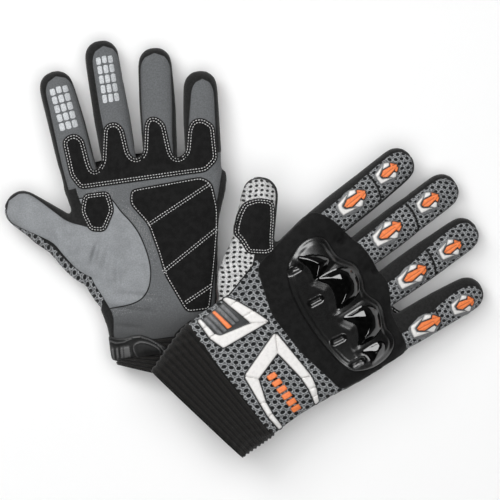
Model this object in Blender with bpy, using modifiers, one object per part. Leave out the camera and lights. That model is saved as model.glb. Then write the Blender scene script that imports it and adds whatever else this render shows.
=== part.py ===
"""A pair of riding gloves for off-road motorcycling, laid one over the other on a table.

The left glove lies on its back with the palm up, and the right glove leans on its wrist with the
back up. Each glove is drawn in one hand frame, in metres: X across the hand with the thumb at -X,
Y from the wrist to the fingertips, and n away from the hand's middle surface, positive on the
back. Both gloves share every outline. Only their edges, fingers and place differ.
"""

import bmesh
import bpy
from math import ceil, copysign, cos, floor, pi, radians, sin
from mathutils import Euler, Vector

MM = 0.001
GAP = 0.3 * MM          # between pieces that touch
WALL = 1.6 * MM         # fabric and lining of the soft tubes
SEAM = 0.7 * MM         # under a sewn or welded piece
AXIS_DROP = 0.3 * MM    # a knuckle's hinge lies this far outside the palm side
HAND_SIDES = 24
FINGER_SIDES = 14
FRONT_REACH = 150 * MM  # the uncut hand ends here, past every finger root
THUMB_TAPER = 0.2       # how much narrower the thumb is at its tip
FINGER_TAPER = 0.16
ROUND = 2.7             # power of the oval sections: 2 is an ellipse, more is boxier

# Tables of (distance along the hand, value), both in millimetres, read as smooth curves.
HALF_THICKNESS = [(-40, 8.2), (0, 9.2), (45, 10.5), (90, 11.0), (125, 10.2), (150, 10.0)]
FINGER_HALF = [(0, 9.6), (35, 9.4), (62, 8.8), (80, 8.4)]
THUMB_HALF = [(0, 10.0), (24, 9.4), (50, 8.6)]
THUMB_BALL = [(-54, -5), (-38, 4), (-24, 6), (-10, 3), (0, 0), (10, 0)]   # added to its half width

GLOVES = {
    "left": {
        "up": -1,
        "at": (-62.4, -62.3, 0.0),
        "yaw": 7.0,
        "tilt": 0.0,
        "edge_thumb": [(-40, -27), (0, -32), (20, -35), (32, -40), (46, -46), (62, -45), (80, -44),
                       (105, -48.5), (150, -57)],
        "edge_little": [(-40, 44), (0, 46), (25, 48), (50, 51.5), (80, 55), (98, 60), (115, 64.5), (150, 67)],
        "middle": [(-40, 9.4), (0, 12.5), (45, 15.4), (92, 17.6), (128, 16.2), (165, 13.0), (205, 10.8)],
        "cuff": {"middle": -26.0, "skew": -0.36},
        "fingers": {
            "index": (-39.2, 126.0, -8.2, 34.0, 67.5, 28.0),
            "middle": (-10.0, 131.0, -2.5, 38.0, 79.5, 28.0),
            "ring": (20.0, 130.5, 3.5, 30.0, 70.5, 27.4),
            "little": (49.4, 121.0, 5.4, 21.5, 59.5, 27.6),
        },
        "thumb": (-56.6, 78.0, -50.0, 21.0, 44.5, 31.6),
        "thumb_heel": (-20.0, 42.0),
        "strap_opens": 100.0,
    },
    "right": {
        "up": 1,
        "at": (-10.4, -91.0, 35.0),
        "yaw": -52.0,
        "tilt": 9.0,
        "edge_thumb": [(-40, -36), (0, -49), (25, -48.5), (50, -51), (80, -54), (105, -56.5),
                       (150, -60)],
        "edge_little": [(-40, 49), (0, 51), (25, 52), (50, 55), (80, 60), (105, 62), (150, 66)],
        "middle": [(-40, -2), (0, 0), (45, 1.8), (92, 3.0), (128, 2.6), (165, 1.2), (205, 0.2)],
        "cuff": {"middle": -33.2, "skew": 0.15},
        "fingers": {
            "index": (-43.8, 126.5, -0.8, 34.0, 70.0, 29.2),
            "middle": (-12.2, 132.0, 1.6, 37.0, 78.5, 29.2),
            "ring": (19.0, 130.0, 3.6, 30.0, 73.0, 29.0),
            "little": (49.6, 118.0, 10.0, 21.5, 62.0, 28.2),
        },
        "thumb": (-65.6, 70.4, -43.0, 22.0, 45.5, 30.0),
        "thumb_heel": (-31.0, 29.0),
        "strap_opens": 7.0,
    },
}
FINGERS = ("index", "middle", "ring", "little")

COLOURS = {
    "palm_suede": ((0.18, 0.18, 0.20), 0.9, 0.0),
    "black_suede": ((0.012, 0.012, 0.013), 0.92, 0.0),
    "air_mesh": ((0.22, 0.22, 0.23), 0.85, 0.0),
    "rib_knit": ((0.012, 0.010, 0.010), 0.95, 0.0),
    "guard_rubber": ((0.012, 0.012, 0.012), 0.28, 0.0),
    "white_rubber": ((0.78, 0.78, 0.74), 0.45, 0.0),
    "orange_rubber": ((0.87, 0.16, 0.04), 0.45, 0.0),
    "strap_rubber": ((0.02, 0.02, 0.021), 0.5, 0.0),
}

# Outlines in millimetres. Those on the back are drawn on the right glove, those on the palm on
# the left glove, and each is stretched to the other glove's width.
PANEL = [(-48, 60), (-50.5, 66), (-51.5, 84), (-53.5, 102), (-54.5, 117), (-42, 123.5), (-15, 129),
         (14, 128), (36, 116), (59, 109), (56, 80), (51.5, 56), (15, 49), (-18, 49)]
GUARD = [(-40, 106), (-41, 92), (-33, 75), (-21, 67.5), (10, 68), (42, 70), (53, 78), (55, 96),
         (48, 106), (32, 110), (20, 112), (-2, 116), (-12, 115), (-24, 112), (-33, 112)]
DOMES = [(-29, 97, 9, 11), (-5, 101, 11, 12), (22, 99, 11, 12), (43, 93, 9, 10)]
DOME_RISE = 3.6
VENTS = [(-29, 80), (-5, 78.5), (24, 78), (45, 80)]
VENT_SIZE = (4.4, 2.2)
RIB_BASE = [(-45, 8), (-23, 10), (-17.5, 42), (-24, 41), (-45, 33)]
RIB_FRAME = [(-45.5, 6.5), (-31.5, 5.5), (-20.5, 8.5), (-15.5, 44.5), (-27, 41), (-40.5, 36),
             (-46.5, 32), (-46.5, 29.5), (-41.5, 30), (-22.5, 34), (-28.5, 12.2), (-32, 9.8),
             (-45.5, 9)]
RIB_ROWS = [13.5, 16.9, 20.3, 23.7, 27.1]
RIB_SPAN = (-43.5, -28.5)
RIB_WIDE = 2.2
RIB_LEAN = 1.5                          # how far each rib's left end sits lower, in mm
ARROW = [(48, 5.5), (36.5, 4), (25.5, 5.5), (5, 8), (3.5, 9.5), (-6.5, 42), (-5, 44), (33, 44.8),
         (40.5, 43), (50, 39), (50, 36), (39, 38), (29, 38.5), (5.5, 36), (11.5, 14.5), (27.5, 9),
         (38, 7.8), (48, 8.5)]
NAME_BAR = [(13, 19.8), (47, 19.8), (47, 26.6), (13, 26.6)]
BADGE = [(-7.0, -1.5), (-3.0, -8.5), (3.0, -8.5), (7.0, -1.5), (5.2, 5.0), (0.0, 9.0), (-5.2, 5.0)]
# Where a finger's two badges lie: how far across it, then how far along it for each.
BADGE_SPOTS = {"index": (0.0, 17.0, 47.3), "middle": (0.0, 18.5, 52.0),
               "ring": (2.5, 11.8, 46.5), "little": (3.6, 10.2, 42.5)}
PALM_PATCH = [(-38, 108.5), (50, 109.5), (56, 116), (57, 150), (-44, 150), (-42, 120)]
HEEL_PATCH = [(-4, 104), (46, 106), (52, 99), (53, 84), (51, 68), (46, 44), (40, 17), (24, 17),
              (13, 42), (10, 58), (5, 78), (-6, 94)]
THUMB_PATCH = [(-35, 80), (-21, 81), (-16, 93), (-23, 105), (-37, 103), (-39, 92)]
STRAP = [(-31, 5), (-30, -9), (-20, -17), (-8, -24), (2, -24), (10, -10), (8, -4), (-2, 2.5),
         (-14, 5)]
THUMB_PANEL = [(-12.5, 1.5), (12.5, 1.5), (12.0, 20.5), (-12.0, 20.5)]


def read(table, t):
    """The value at t of a smooth curve through the table's (t, value) pairs."""
    last = len(table) - 2
    i = max([0] + [k for k in range(last + 1) if table[k][0] <= t])
    (t0, v0), (t1, v1) = table[i], table[i + 1]

    def slope(k):
        a, b = table[max(k - 1, 0)], table[min(k + 1, last + 1)]
        return (b[1] - a[1]) / (b[0] - a[0])

    w = min(max((t - t0) / (t1 - t0), 0.0), 1.0)
    step = t1 - t0
    return (v0 * (1 + 2 * w) * (1 - w) ** 2 + v1 * w * w * (3 - 2 * w)
            + step * w * (1 - w) * (slope(i) * (1 - w) - slope(i + 1) * w))


class Tube:
    """A soft tube in one glove, flat across: the hand with its cuff, a finger or the thumb.

    u runs across it and v along it, from origin, and lean turns it towards +X.
    """

    def __init__(self, glove, origin, lean, low, high, half):
        self.glove = glove
        self.origin = origin
        self.cos, self.sin = cos(radians(lean)), sin(radians(lean))
        self.low, self.high, self.half = low, high, half
        self.branch = None

    def point(self, u, v, n):
        x = self.origin[0] + u * self.cos + v * self.sin
        y = self.origin[1] - u * self.sin + v * self.cos
        side = max(-x - 58 * MM, 0.0)
        z = read(self.glove["middle"], y / MM) * MM - 0.08 * side
        return Vector((x, y, z + self.glove["up"] * n))

    def section(self, v):
        """The section's middle, its half width and its half thickness at v."""
        low, high = self.low(v), self.high(v)
        return (low + high) / 2, (high - low) / 2, self.half(v)

    def height(self, u, v):
        """How far the tube's surface is from its middle surface, at u and v."""
        middle, width, half = self.section(v)
        across = min(abs(u - middle) / width, 0.97)
        own = half * (1 - across ** ROUND) ** (1 / ROUND)
        if self.branch:
            x, y = u - self.branch.origin[0], v - self.branch.origin[1]
            along = x * self.branch.sin + y * self.branch.cos
            beside = x * self.branch.cos - y * self.branch.sin
            if along < 0 and abs(beside) < self.branch.section(along)[1]:
                own = max(own, self.branch.height(beside, along))
        return own

    def ring(self, v, sides, grow=0.0, shrink=1.0, skew=0.0):
        """One oval ring of points at v. It leans along the tube by skew for each unit across."""
        middle, width, half = self.section(v)
        points = []
        for k in range(sides):
            angle = 2 * pi * k / sides
            c, s = cos(angle), sin(angle)
            u = middle + (width * shrink + grow) * copysign(abs(c) ** (2 / ROUND), c)
            n = (half * shrink + grow) * copysign(abs(s) ** (2 / ROUND), s)
            points.append(self.point(u, v + skew * u, n))
        return points


def hand_tube(glove):
    """The hand, whose surface swells where the thumb's root joins it."""
    hand = Tube(glove, (0.0, 0.0), 0.0,
                lambda v: read(glove["edge_thumb"], v / MM) * MM,
                lambda v: read(glove["edge_little"], v / MM) * MM,
                lambda v: read(HALF_THICKNESS, v / MM) * MM)
    hand.branch = thumb_tube(glove)
    return hand


def digit_tube(glove, spec, halves, taper):
    """A finger or thumb from its spec: root x and y, lean, first joint, length and width."""
    x, y, lean, _, length, width = spec
    full = length * MM

    def half_width(v):
        return width / 2 * MM * (1 - taper * min(max(v / full, 0.0), 1.0))

    return Tube(glove, (x * MM, y * MM), lean,
                lambda v: -half_width(v), half_width,
                lambda v: read(halves, v / MM) * MM)


def thumb_tube(glove):
    """The thumb. Its root swells into the ball of the thumb, inside the hand."""
    tube = digit_tube(glove, glove["thumb"], THUMB_HALF, THUMB_TAPER)
    plain = tube.high
    tube.high = lambda v: plain(v) + read(THUMB_BALL, v / MM) * MM
    tube.low = lambda v: -tube.high(v)
    return tube


def loft(rings, start_cap, end_cap, flip):
    """A bmesh tube through the rings, closed at the ends that are asked for."""
    bm = bmesh.new()
    rows = [[bm.verts.new(p) for p in ring] for ring in rings]
    for a, b in zip(rows, rows[1:]):
        for i in range(len(a)):
            j = (i + 1) % len(a)
            bm.faces.new((a[i], b[i], b[j], a[j]))
    if start_cap:
        bm.faces.new(rows[0])
    if end_cap:
        bm.faces.new(rows[-1][::-1])
    if flip:
        bmesh.ops.reverse_faces(bm, faces=bm.faces[:])
    return bm


def soften(outline, radius, steps=2):
    """The outline with each corner rounded to about radius."""
    points = [Vector(p) for p in outline]
    result = []
    for i, corner in enumerate(points):
        before, after = points[i - 1] - corner, points[(i + 1) % len(points)] - corner
        a = corner + before.normalized() * min(radius, before.length * 0.45)
        b = corner + after.normalized() * min(radius, after.length * 0.45)
        for k in range(steps + 1):
            t = k / steps
            result.append(tuple(a * (1 - t) ** 2 + corner * 2 * t * (1 - t) + b * t * t))
    return result


def fitted(outline, glove, drawn_on):
    """An outline in millimetres drawn on one hand, stretched across to fit this one, in metres."""
    here, there = hand_tube(glove), hand_tube(GLOVES[drawn_on])
    points = []
    for x, y in outline:
        u, v = x * MM, y * MM
        middle_there, width_there, _ = there.section(v)
        middle_here, width_here, _ = here.section(v)
        points.append((middle_here + (u - middle_there) * width_here / width_there, v))
    return points


def sliced(outline, step):
    """A flat bmesh of the outline, cut into cells of about step and then into triangles."""
    bm = bmesh.new()
    bm.faces.new([bm.verts.new((u, v, 0.0)) for u, v in outline])
    for axis in (0, 1):
        values = [p[axis] for p in outline]
        for k in range(ceil(min(values) / step), floor(max(values) / step) + 1):
            at, normal = [0.0, 0.0, 0.0], [0.0, 0.0, 0.0]
            at[axis], normal[axis] = (k + 0.013) * step, 1.0
            everything = bm.verts[:] + bm.edges[:] + bm.faces[:]
            bmesh.ops.bisect_plane(bm, geom=everything, dist=1e-6, plane_co=at, plane_no=normal)
    bmesh.ops.triangulate(bm, faces=bm.faces[:])
    return bm


def plate(tube, outline, side, lift, thickness, step=10 * MM):
    """A closed plate that follows the tube's back (side 1) or palm (side -1).

    thickness is a number, or a function of u and v.
    """
    flat = sliced(outline, step)
    bm = bmesh.new()
    pairs = {}
    for vert in flat.verts:
        u, v = vert.co.x, vert.co.y
        thick = thickness(u, v) if callable(thickness) else thickness
        base = tube.height(u, v) + lift
        pairs[vert] = [bm.verts.new(tube.point(u, v, side * n)) for n in (base, base + thick)]
    for face in flat.faces:
        bm.faces.new([pairs[v][0] for v in face.verts])
        bm.faces.new([pairs[v][1] for v in reversed(face.verts)])
    for edge in flat.edges:
        if edge.is_boundary:
            a, b = edge.verts
            bm.faces.new((pairs[a][0], pairs[a][1], pairs[b][1], pairs[b][0]))
    flat.free()
    bmesh.ops.recalc_face_normals(bm, faces=bm.faces[:])
    return bm


def material(name):
    """The Principled material of that name, made once."""
    found = bpy.data.materials.get(name)
    if found:
        return found
    colour, roughness, metallic = COLOURS[name]
    made = bpy.data.materials.new(name)
    made.use_nodes = True
    shader = made.node_tree.nodes["Principled BSDF"]
    shader.inputs["Base Color"].default_value = (*colour, 1.0)
    shader.inputs["Roughness"].default_value = roughness
    shader.inputs["Metallic"].default_value = metallic
    made.diffuse_color = (*colour, 1.0)
    return made


def add(name, bm, collection, parent, pivot, finish=None):
    """An object from the bmesh, with its origin at pivot and its mesh in the glove's frame."""
    mesh = bpy.data.meshes.new(name)
    bmesh.ops.translate(bm, verts=bm.verts[:], vec=-pivot)
    bm.to_mesh(mesh)
    bm.free()
    made = bpy.data.objects.new(name, mesh)
    collection.objects.link(made)
    made.parent = parent["object"]
    made.location = pivot - parent["pivot"]
    if finish:
        mesh.materials.append(material(finish))
        mesh.shade_smooth()
        mesh.set_sharp_from_angle(angle=radians(40))
    return made


def cutter(name, bm, target, operation):
    """A hidden object that a Boolean modifier joins to the target or takes from it."""
    hidden = bpy.data.collections["cutters"]
    tool = add(name, bm, hidden, {"object": target.parent, "pivot": Vector()}, Vector())
    tool.hide_render = True
    tool.display_type = "WIRE"
    boolean = target.modifiers.new(name, "BOOLEAN")
    boolean.object = tool
    boolean.operation = operation
    boolean.solver = "EXACT"


def thicken(target, thickness):
    """Gives an open tube its wall, inwards."""
    solidify = target.modifiers.new("wall", "SOLIDIFY")
    solidify.thickness = thickness
    solidify.offset = -1.0


def digit_rings(tube, start, end, tip):
    """Rings from start to end along a digit, closing in a round tip if it is the last piece."""
    if not tip:
        spans = 2
        return [tube.ring(start + (end - start) * k / spans, FINGER_SIDES) for k in range(spans + 1)]
    shoulder = 13 * MM
    rings = [tube.ring(start, FINGER_SIDES), tube.ring((start + end - shoulder) / 2, FINGER_SIDES)]
    for reach, shrink in ((0.0, 1.0), (0.62, 0.86), (1.0, 0.42)):
        rings.append(tube.ring(end - shoulder * (1 - reach), FINGER_SIDES, shrink=shrink))
    return rings


def hinge_point(tube, v):
    """A knuckle's pivot: across the digit, just outside its palm side."""
    return tube.point(0.0, v, -(tube.half(v) + AXIS_DROP))


def front_cut(name, glove, target):
    """Ends the target at the finger roots: each finger starts on its own line across the hand."""
    deep = 60 * MM
    for finger in FINGERS:
        x, y, lean, _, _, width = glove["fingers"][finger]
        spec = (x, y, lean, 0, 100, width)
        tube = digit_tube(glove, spec, FINGER_HALF, 0.0)
        low = -width * MM if finger == "index" else -width / 2 * MM - 0.6 * MM
        high = width * MM if finger == "little" else width / 2 * MM + 0.6 * MM
        rings = []
        for v in (-GAP, 60 * MM):
            corners = [(low, -deep), (high, -deep), (high, deep), (low, deep)]
            base = [tube.point(u, v, 0.0) for u, _ in corners]
            rings.append([Vector((p.x, p.y, n)) for p, (_, n) in zip(base, corners)])
        box = loft(rings, True, True, False)
        bmesh.ops.recalc_face_normals(box, faces=box.faces[:])
        cutter(f"{name}_{finger}_root_cut", box, target, "DIFFERENCE")


def hand_shell(side, glove, collection, frame):
    """The glove's body: back, palm and side walls, open at the wrist, the fingers and the thumb."""
    flip = glove["up"] < 0
    tube = hand_tube(glove)
    stations = [0, 18, 36, 52, 66, 80, 93, 106, 119, 132, FRONT_REACH / MM]
    outer = loft([tube.ring(v * MM, HAND_SIDES) for v in stations], True, True, flip)
    shell = add(f"{side}_hand_shell", outer, collection, frame, Vector(), "air_mesh")

    heel = Vector(glove["thumb_heel"]) * MM
    thumb = thumb_tube(glove)
    reach = (Vector(thumb.origin) - heel).length
    for grow, past, name, way in ((0.0, -GAP, "thumb_root", "UNION"),
                                  (-WALL, 4 * MM, "thumb_hole", "DIFFERENCE")):
        along = (-reach, -reach * 0.75, -reach / 2, -reach / 4, past)
        stub = [thumb.ring(v, FINGER_SIDES, grow) for v in along]
        cutter(f"{side}_{name}", loft(stub, True, True, flip), shell, way)
    inner = [tube.ring(v * MM, HAND_SIDES, -WALL) for v in [-8] + stations[1:-1] + [160]]
    cutter(f"{side}_hand_hole", loft(inner, True, True, flip), shell, "DIFFERENCE")
    front_cut(f"{side}_hand", glove, shell)
    return shell


def cuff(side, glove, collection, frame):
    """The ribbed elastic cuff: a tube open at both ends, with a slanted mouth."""
    tube = hand_tube(glove)
    end, skew = glove["cuff"]["middle"] * MM, glove["cuff"]["skew"]
    rings = []
    for k in range(4):
        part = k / 3
        start = -2 * GAP
        v = end * (1 - part) + start * part
        rings.append(tube.ring(v, HAND_SIDES, skew=skew * (1 - part)))
    made = add(f"{side}_cuff", loft(rings, False, False, glove["up"] < 0), collection, frame,
               Vector(), "rib_knit")
    thicken(made, WALL)


def digit(side, name, glove, collection, frame, spec, halves, taper):
    """A finger's or thumb's two stall pieces, each hinged at its palm side."""
    tube = digit_tube(glove, spec, halves, taper)
    bend, length = spec[3] * MM, spec[4] * MM
    flip = glove["up"] < 0
    parent = frame
    for part, start, end in (("proximal", GAP, bend - GAP), ("distal", bend + GAP, length)):
        tip = part == "distal"
        bm = loft(digit_rings(tube, start, end, tip), False, tip, flip)
        pivot = hinge_point(tube, bend if tip else 0.0)
        made = add(f"{side}_{name}_{part}", bm, collection, parent, pivot, "palm_suede")
        thicken(made, WALL)
        parent = {"object": made, "pivot": pivot}
        yield tube, parent


def finger_badges(side, name, collection, segments):
    """The two moulded badges on a finger's back, one on each side of its flex seam."""
    across, *alongs = BADGE_SPOTS[name]
    for place, along, (tube, parent) in zip(("lower", "upper"), alongs, segments):
        outline = [((across + u) * MM, (along + v) * MM) for u, v in BADGE]
        bm = plate(tube, outline, 1, SEAM, 1.6 * MM, step=7.3 * MM)
        add(f"{side}_{name}_{place}_badge", bm, collection, parent, parent["pivot"], "white_rubber")


def knuckle_panel(side, glove, collection, frame):
    """The soft black panel over the knuckles, under the guard."""
    outline = fitted(soften(PANEL, 3), glove, "right")
    bm = plate(hand_tube(glove), outline, 1, SEAM, 1.0 * MM)
    add(f"{side}_knuckle_panel", bm, collection, frame, Vector(), "black_suede")


def knuckle_guard(side, glove, collection, frame):
    """The moulded guard: a plate with a dome over each knuckle and an oval vent behind it."""
    tube = hand_tube(glove)
    domes = fitted([d[:2] for d in DOMES], glove, "right")

    def thickness(u, v):
        rise = 0.0
        for (cu, cv), (_, _, ru, rv) in zip(domes, DOMES):
            r = ((u - cu) / (ru * MM)) ** 2 + ((v - cv) / (rv * MM)) ** 2
            rise = max(rise, DOME_RISE * MM * max(1 - r, 0.0) ** 0.5)
        return 2.6 * MM + rise

    outline = fitted(soften(GUARD, 4), glove, "right")
    bm = plate(tube, outline, 1, SEAM + 1.0 * MM + GAP, thickness, step=7 * MM)
    if glove["up"] < 0:
        for v in bm.verts:
            v.co.z = max(v.co.z, 0.0)
    guard = add(f"{side}_knuckle_guard", bm, collection, frame, Vector(), "guard_rubber")
    for k, (u, v) in enumerate(fitted(VENTS, glove, "right")):
        low = tube.point(u, v, tube.height(u, v) - 2 * MM)
        high = tube.point(u, v, tube.height(u, v) + 9 * MM)
        rings = [[p + Vector((VENT_SIZE[0] * MM * cos(a), VENT_SIZE[1] * MM * sin(a), 0.0))
                  for a in (2 * pi * i / 12 for i in range(12))] for p in (low, high)]
        vent = loft(rings, True, True, False)
        bmesh.ops.recalc_face_normals(vent, faces=vent.faces[:])
        cutter(f"{side}_vent_{k + 1}", vent, guard, "DIFFERENCE")


def rib_badge(side, glove, collection, frame):
    """The moulded badge near the thumb: a thin base, a bracket round it and five raised ribs."""
    tube = hand_tube(glove)
    base = plate(tube, fitted(RIB_BASE, glove, "right"), 1, SEAM, 1.0 * MM, step=9 * MM)
    made = add(f"{side}_rib_badge", base, collection, frame, Vector(), "white_rubber")
    bracket = plate(tube, fitted(soften(RIB_FRAME, 1.5, 1), glove, "right"), 1,
                    SEAM + 0.4 * MM, 1.8 * MM, step=9 * MM)
    cutter(f"{side}_rib_badge_frame", bracket, made, "UNION")
    (left, right), half, lean = RIB_SPAN, RIB_WIDE / 2, RIB_LEAN
    for k, y in enumerate(RIB_ROWS):
        rib = [(left, y - half - lean), (right, y - half), (right, y + half), (left, y + half - lean)]
        bm = plate(tube, fitted(rib, glove, "right"), 1, SEAM + 0.5 * MM, 1.1 * MM, step=16 * MM)
        cutter(f"{side}_rib_{k + 1}", bm, made, "UNION")


def flat_piece(side, name, glove, collection, frame, outline, face, thickness, finish, radius):
    """A thin sewn or welded piece on the hand's back (face 1) or palm (face -1)."""
    drawn_on = "right" if face > 0 else "left"
    points = fitted(soften(outline, radius), glove, drawn_on)
    bm = plate(hand_tube(glove), points, face, SEAM, thickness)
    return add(f"{side}_{name}", bm, collection, frame, Vector(), finish)


def strap_tab(side, glove, collection, frame):
    """The moulded closing tab across the palm side of the wrist, hinged at the thumb's side."""
    tube = hand_tube(glove)
    points = fitted(soften(STRAP, 2.5), glove, "left")
    bm = plate(tube, points, -1, SEAM, 2.6 * MM, step=8 * MM)
    add(f"{side}_strap_tab", bm, collection, frame, strap_pivot(glove), "strap_rubber")


def strap_pivot(glove):
    """The strap's hinge: at its thumb end, on the face that lies on the wrist."""
    tube = hand_tube(glove)
    (low, v), (high, w) = fitted(STRAP[:2], glove, "left")
    u, middle = min(low, high) - 0.2 * MM, (v + w) / 2
    return tube.point(u, middle, -(tube.height(u, middle) + SEAM))


def thumb_panel(side, collection, segments):
    """The black stitched panel on the back of the thumb's first piece."""
    tube, parent = segments[0]
    outline = [(u * MM, v * MM) for u, v in soften(THUMB_PANEL, 3)]
    bm = plate(tube, outline, 1, SEAM, 1.0 * MM, step=6.5 * MM)
    add(f"{side}_thumb_panel", bm, collection, parent, parent["pivot"], "black_suede")


def glove_pieces(side, glove, collection):
    """All of one glove's pieces, under an empty that places the glove."""
    empty = bpy.data.objects.new(f"{side}_glove_frame", None)
    collection.objects.link(empty)
    empty.location = Vector(glove["at"]) * MM
    tilt = Euler((0.0, radians(glove["tilt"]), 0.0)).to_matrix()
    yaw = Euler((0.0, 0.0, radians(glove["yaw"]))).to_matrix()
    empty.rotation_euler = (tilt @ yaw).to_euler()
    frame = {"object": empty, "pivot": Vector()}

    hand_shell(side, glove, collection, frame)
    cuff(side, glove, collection, frame)
    knuckle_panel(side, glove, collection, frame)
    knuckle_guard(side, glove, collection, frame)
    rib_badge(side, glove, collection, frame)
    flat_piece(side, "arrow_badge", glove, collection, frame, ARROW, 1, 1.8 * MM, "white_rubber", 1.5)
    flat_piece(side, "name_bar", glove, collection, frame, NAME_BAR, 1, 1.2 * MM, "orange_rubber", 1.5)
    palm = flat_piece(side, "palm_patch", glove, collection, frame, PALM_PATCH, -1, 1.0 * MM,
                      "black_suede", 3)
    front_cut(f"{side}_patch", glove, palm)
    flat_piece(side, "heel_patch", glove, collection, frame, HEEL_PATCH, -1, 1.0 * MM,
               "black_suede", 4)
    flat_piece(side, "thumb_crotch_patch", glove, collection, frame, THUMB_PATCH, -1, 1.0 * MM,
               "black_suede", 4)
    strap_tab(side, glove, collection, frame)
    for name in FINGERS:
        spec = glove["fingers"][name]
        segments = digit(side, name, glove, collection, frame, spec, FINGER_HALF, FINGER_TAPER)
        finger_badges(side, name, collection, list(segments))
    segments = digit(side, "thumb", glove, collection, frame, glove["thumb"], THUMB_HALF,
                     THUMB_TAPER)
    thumb_panel(side, collection, list(segments))


def main():
    for old in list(bpy.data.objects):
        bpy.data.objects.remove(old)
    gloves = bpy.data.collections.new("riding_gloves")
    cutters = bpy.data.collections.new("cutters")
    for made in (gloves, cutters):
        bpy.context.scene.collection.children.link(made)
    for side, glove in GLOVES.items():
        glove_pieces(side, glove, gloves)


main()
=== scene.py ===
"""The looks of a pair of riding gloves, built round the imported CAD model.

Each glove is worked out in its own flat hand frame, in millimetres: x across the hand with the
thumb at -x, y from the wrist to the fingertips, and n away from the hand's middle surface,
positive on the back. place() bends that frame and puts the glove on the table.
"""

from math import atan2, cos, pi, radians, sin

import bpy
import numpy as np
from mathutils import Euler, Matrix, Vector
from mathutils.bvhtree import BVHTree
from mathutils.geometry import delaunay_2d_cdt

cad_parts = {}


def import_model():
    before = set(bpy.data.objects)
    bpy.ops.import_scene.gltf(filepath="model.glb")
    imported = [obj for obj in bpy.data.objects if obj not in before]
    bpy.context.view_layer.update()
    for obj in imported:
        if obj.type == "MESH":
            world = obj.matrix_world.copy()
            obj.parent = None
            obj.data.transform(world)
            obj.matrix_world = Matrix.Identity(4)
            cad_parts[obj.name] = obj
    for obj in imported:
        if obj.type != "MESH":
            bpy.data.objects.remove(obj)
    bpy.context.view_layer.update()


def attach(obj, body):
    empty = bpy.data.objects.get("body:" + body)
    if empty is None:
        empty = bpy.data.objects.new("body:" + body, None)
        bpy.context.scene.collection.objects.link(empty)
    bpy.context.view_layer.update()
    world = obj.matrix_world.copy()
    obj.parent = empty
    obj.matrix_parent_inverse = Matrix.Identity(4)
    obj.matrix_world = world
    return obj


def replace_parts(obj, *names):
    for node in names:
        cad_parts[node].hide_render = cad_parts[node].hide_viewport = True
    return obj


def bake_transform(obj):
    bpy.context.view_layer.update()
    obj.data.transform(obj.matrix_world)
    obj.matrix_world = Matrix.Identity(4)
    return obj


MM = 0.001
BACK, PALM = 1, -1
CORNERS = ((-1, -1), (1, -1), (1, 1), (-1, 1))
ROUND = 2.7             # power of the oval sections, as in the CAD
TIP_POWER = 2.3         # and of the tips
SIM_SCALE = 0.01        # the cloth pass runs ten times too large: 1 mm is 0.01 there
VOXEL = 1.7             # size of the skin's cells, in mm, before its one subdivision
PUFF_LIMIT = 1.5        # how far the cloth pass may move a point, in mm
BEND_FROM, BEND_TO = -2.0, 11.0   # a knuckle's span along the digit; a digit's own pieces start at the first
FLEX = 7.0              # and a middle joint's span this far to each side of it; the far piece starts at its near end
TIP_SPARE = 1.2         # the cloth pass draws a fingertip back by this much, in mm

HALF_THICKNESS = [(-40, 8.2), (0, 9.2), (45, 10.5), (90, 11.0), (108, 10.5), (117, 9.4), (122, 7.2),
                  (125, 4.0), (126, 1.0)]
FINGER_HALF = [(0, 9.6), (35, 9.4), (62, 8.8), (80, 8.4)]
THUMB_HALF = [(0, 10.0), (24, 9.4), (50, 8.6)]
THUMB_BALL = [(-54, -5), (-38, 4), (-24, 6), (-10, 3), (0, 0), (10, 0)]
FINGER_TAPER, THUMB_TAPER = 0.16, 0.2
WEB_LINE = [(-60, 110), (-42, 117), (-27, 119), (2, 125), (30, 122), (50, 115), (70, 108)]

# The sides, the middle surface's height and the cuff's mouth (its y, and its slant across the hand)
# of each glove. A digit holds its root's x and y, its lean in degrees, where its middle joint is,
# its length and its width.
GLOVES = {
    "left": {
        "up": -1,
        "at": (-62.4, -62.3, 0.0),
        "tilt": 0.0,
        "yaw": 7.0,
        "edge_thumb": [(-40, -27), (0, -32), (20, -35), (32, -40), (46, -46), (62, -45), (80, -44),
                       (105, -48.5), (150, -57)],
        "edge_little": [(-40, 44), (0, 46), (25, 48), (50, 51.5), (80, 55), (98, 60), (115, 64.5), (150, 67)],
        "middle": [(-40, 9.4), (0, 12.5), (45, 15.4), (92, 17.6), (128, 16.2), (165, 13.0), (205, 10.8)],
        "mouth": (-26.0, -0.36),
        "digits": {
            "index": (-39.2, 126.0, -8.2, 34.0, 67.5, 28.0),
            "middle": (-10.0, 131.0, -2.5, 38.0, 79.5, 28.0),
            "ring": (20.0, 130.5, 3.5, 30.0, 70.5, 27.4),
            "little": (49.4, 121.0, 5.4, 21.5, 59.5, 27.6),
            "thumb": (-56.6, 78.0, -50.0, 21.0, 44.5, 31.6),
        },
        "thumb_heel": (-20.0, 42.0),
    },
    "right": {
        "up": 1,
        "at": (-10.4, -91.0, 35.0),
        "tilt": 9.0,
        "yaw": -52.0,
        "edge_thumb": [(-40, -36), (0, -49), (25, -48.5), (50, -51), (80, -54), (105, -56.5),
                       (150, -60)],
        "edge_little": [(-40, 49), (0, 51), (25, 52), (50, 55), (80, 60), (105, 62), (150, 66)],
        "middle": [(-40, -2), (0, 0), (45, 1.8), (92, 3.0), (128, 2.6), (165, 1.2), (205, 0.2)],
        "mouth": (-33.2, 0.15),
        "digits": {
            "index": (-43.8, 126.5, -0.8, 34.0, 70.0, 29.2),
            "middle": (-12.2, 132.0, 1.6, 37.0, 78.5, 29.2),
            "ring": (19.0, 130.0, 3.6, 30.0, 73.0, 29.0),
            "little": (49.6, 118.0, 10.0, 21.5, 62.0, 28.2),
            "thumb": (-65.6, 70.4, -43.0, 22.0, 45.5, 30.0),
        },
        "thumb_heel": (-31.0, 29.0),
    },
}
FINGERS = ("index", "middle", "ring", "little")

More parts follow.
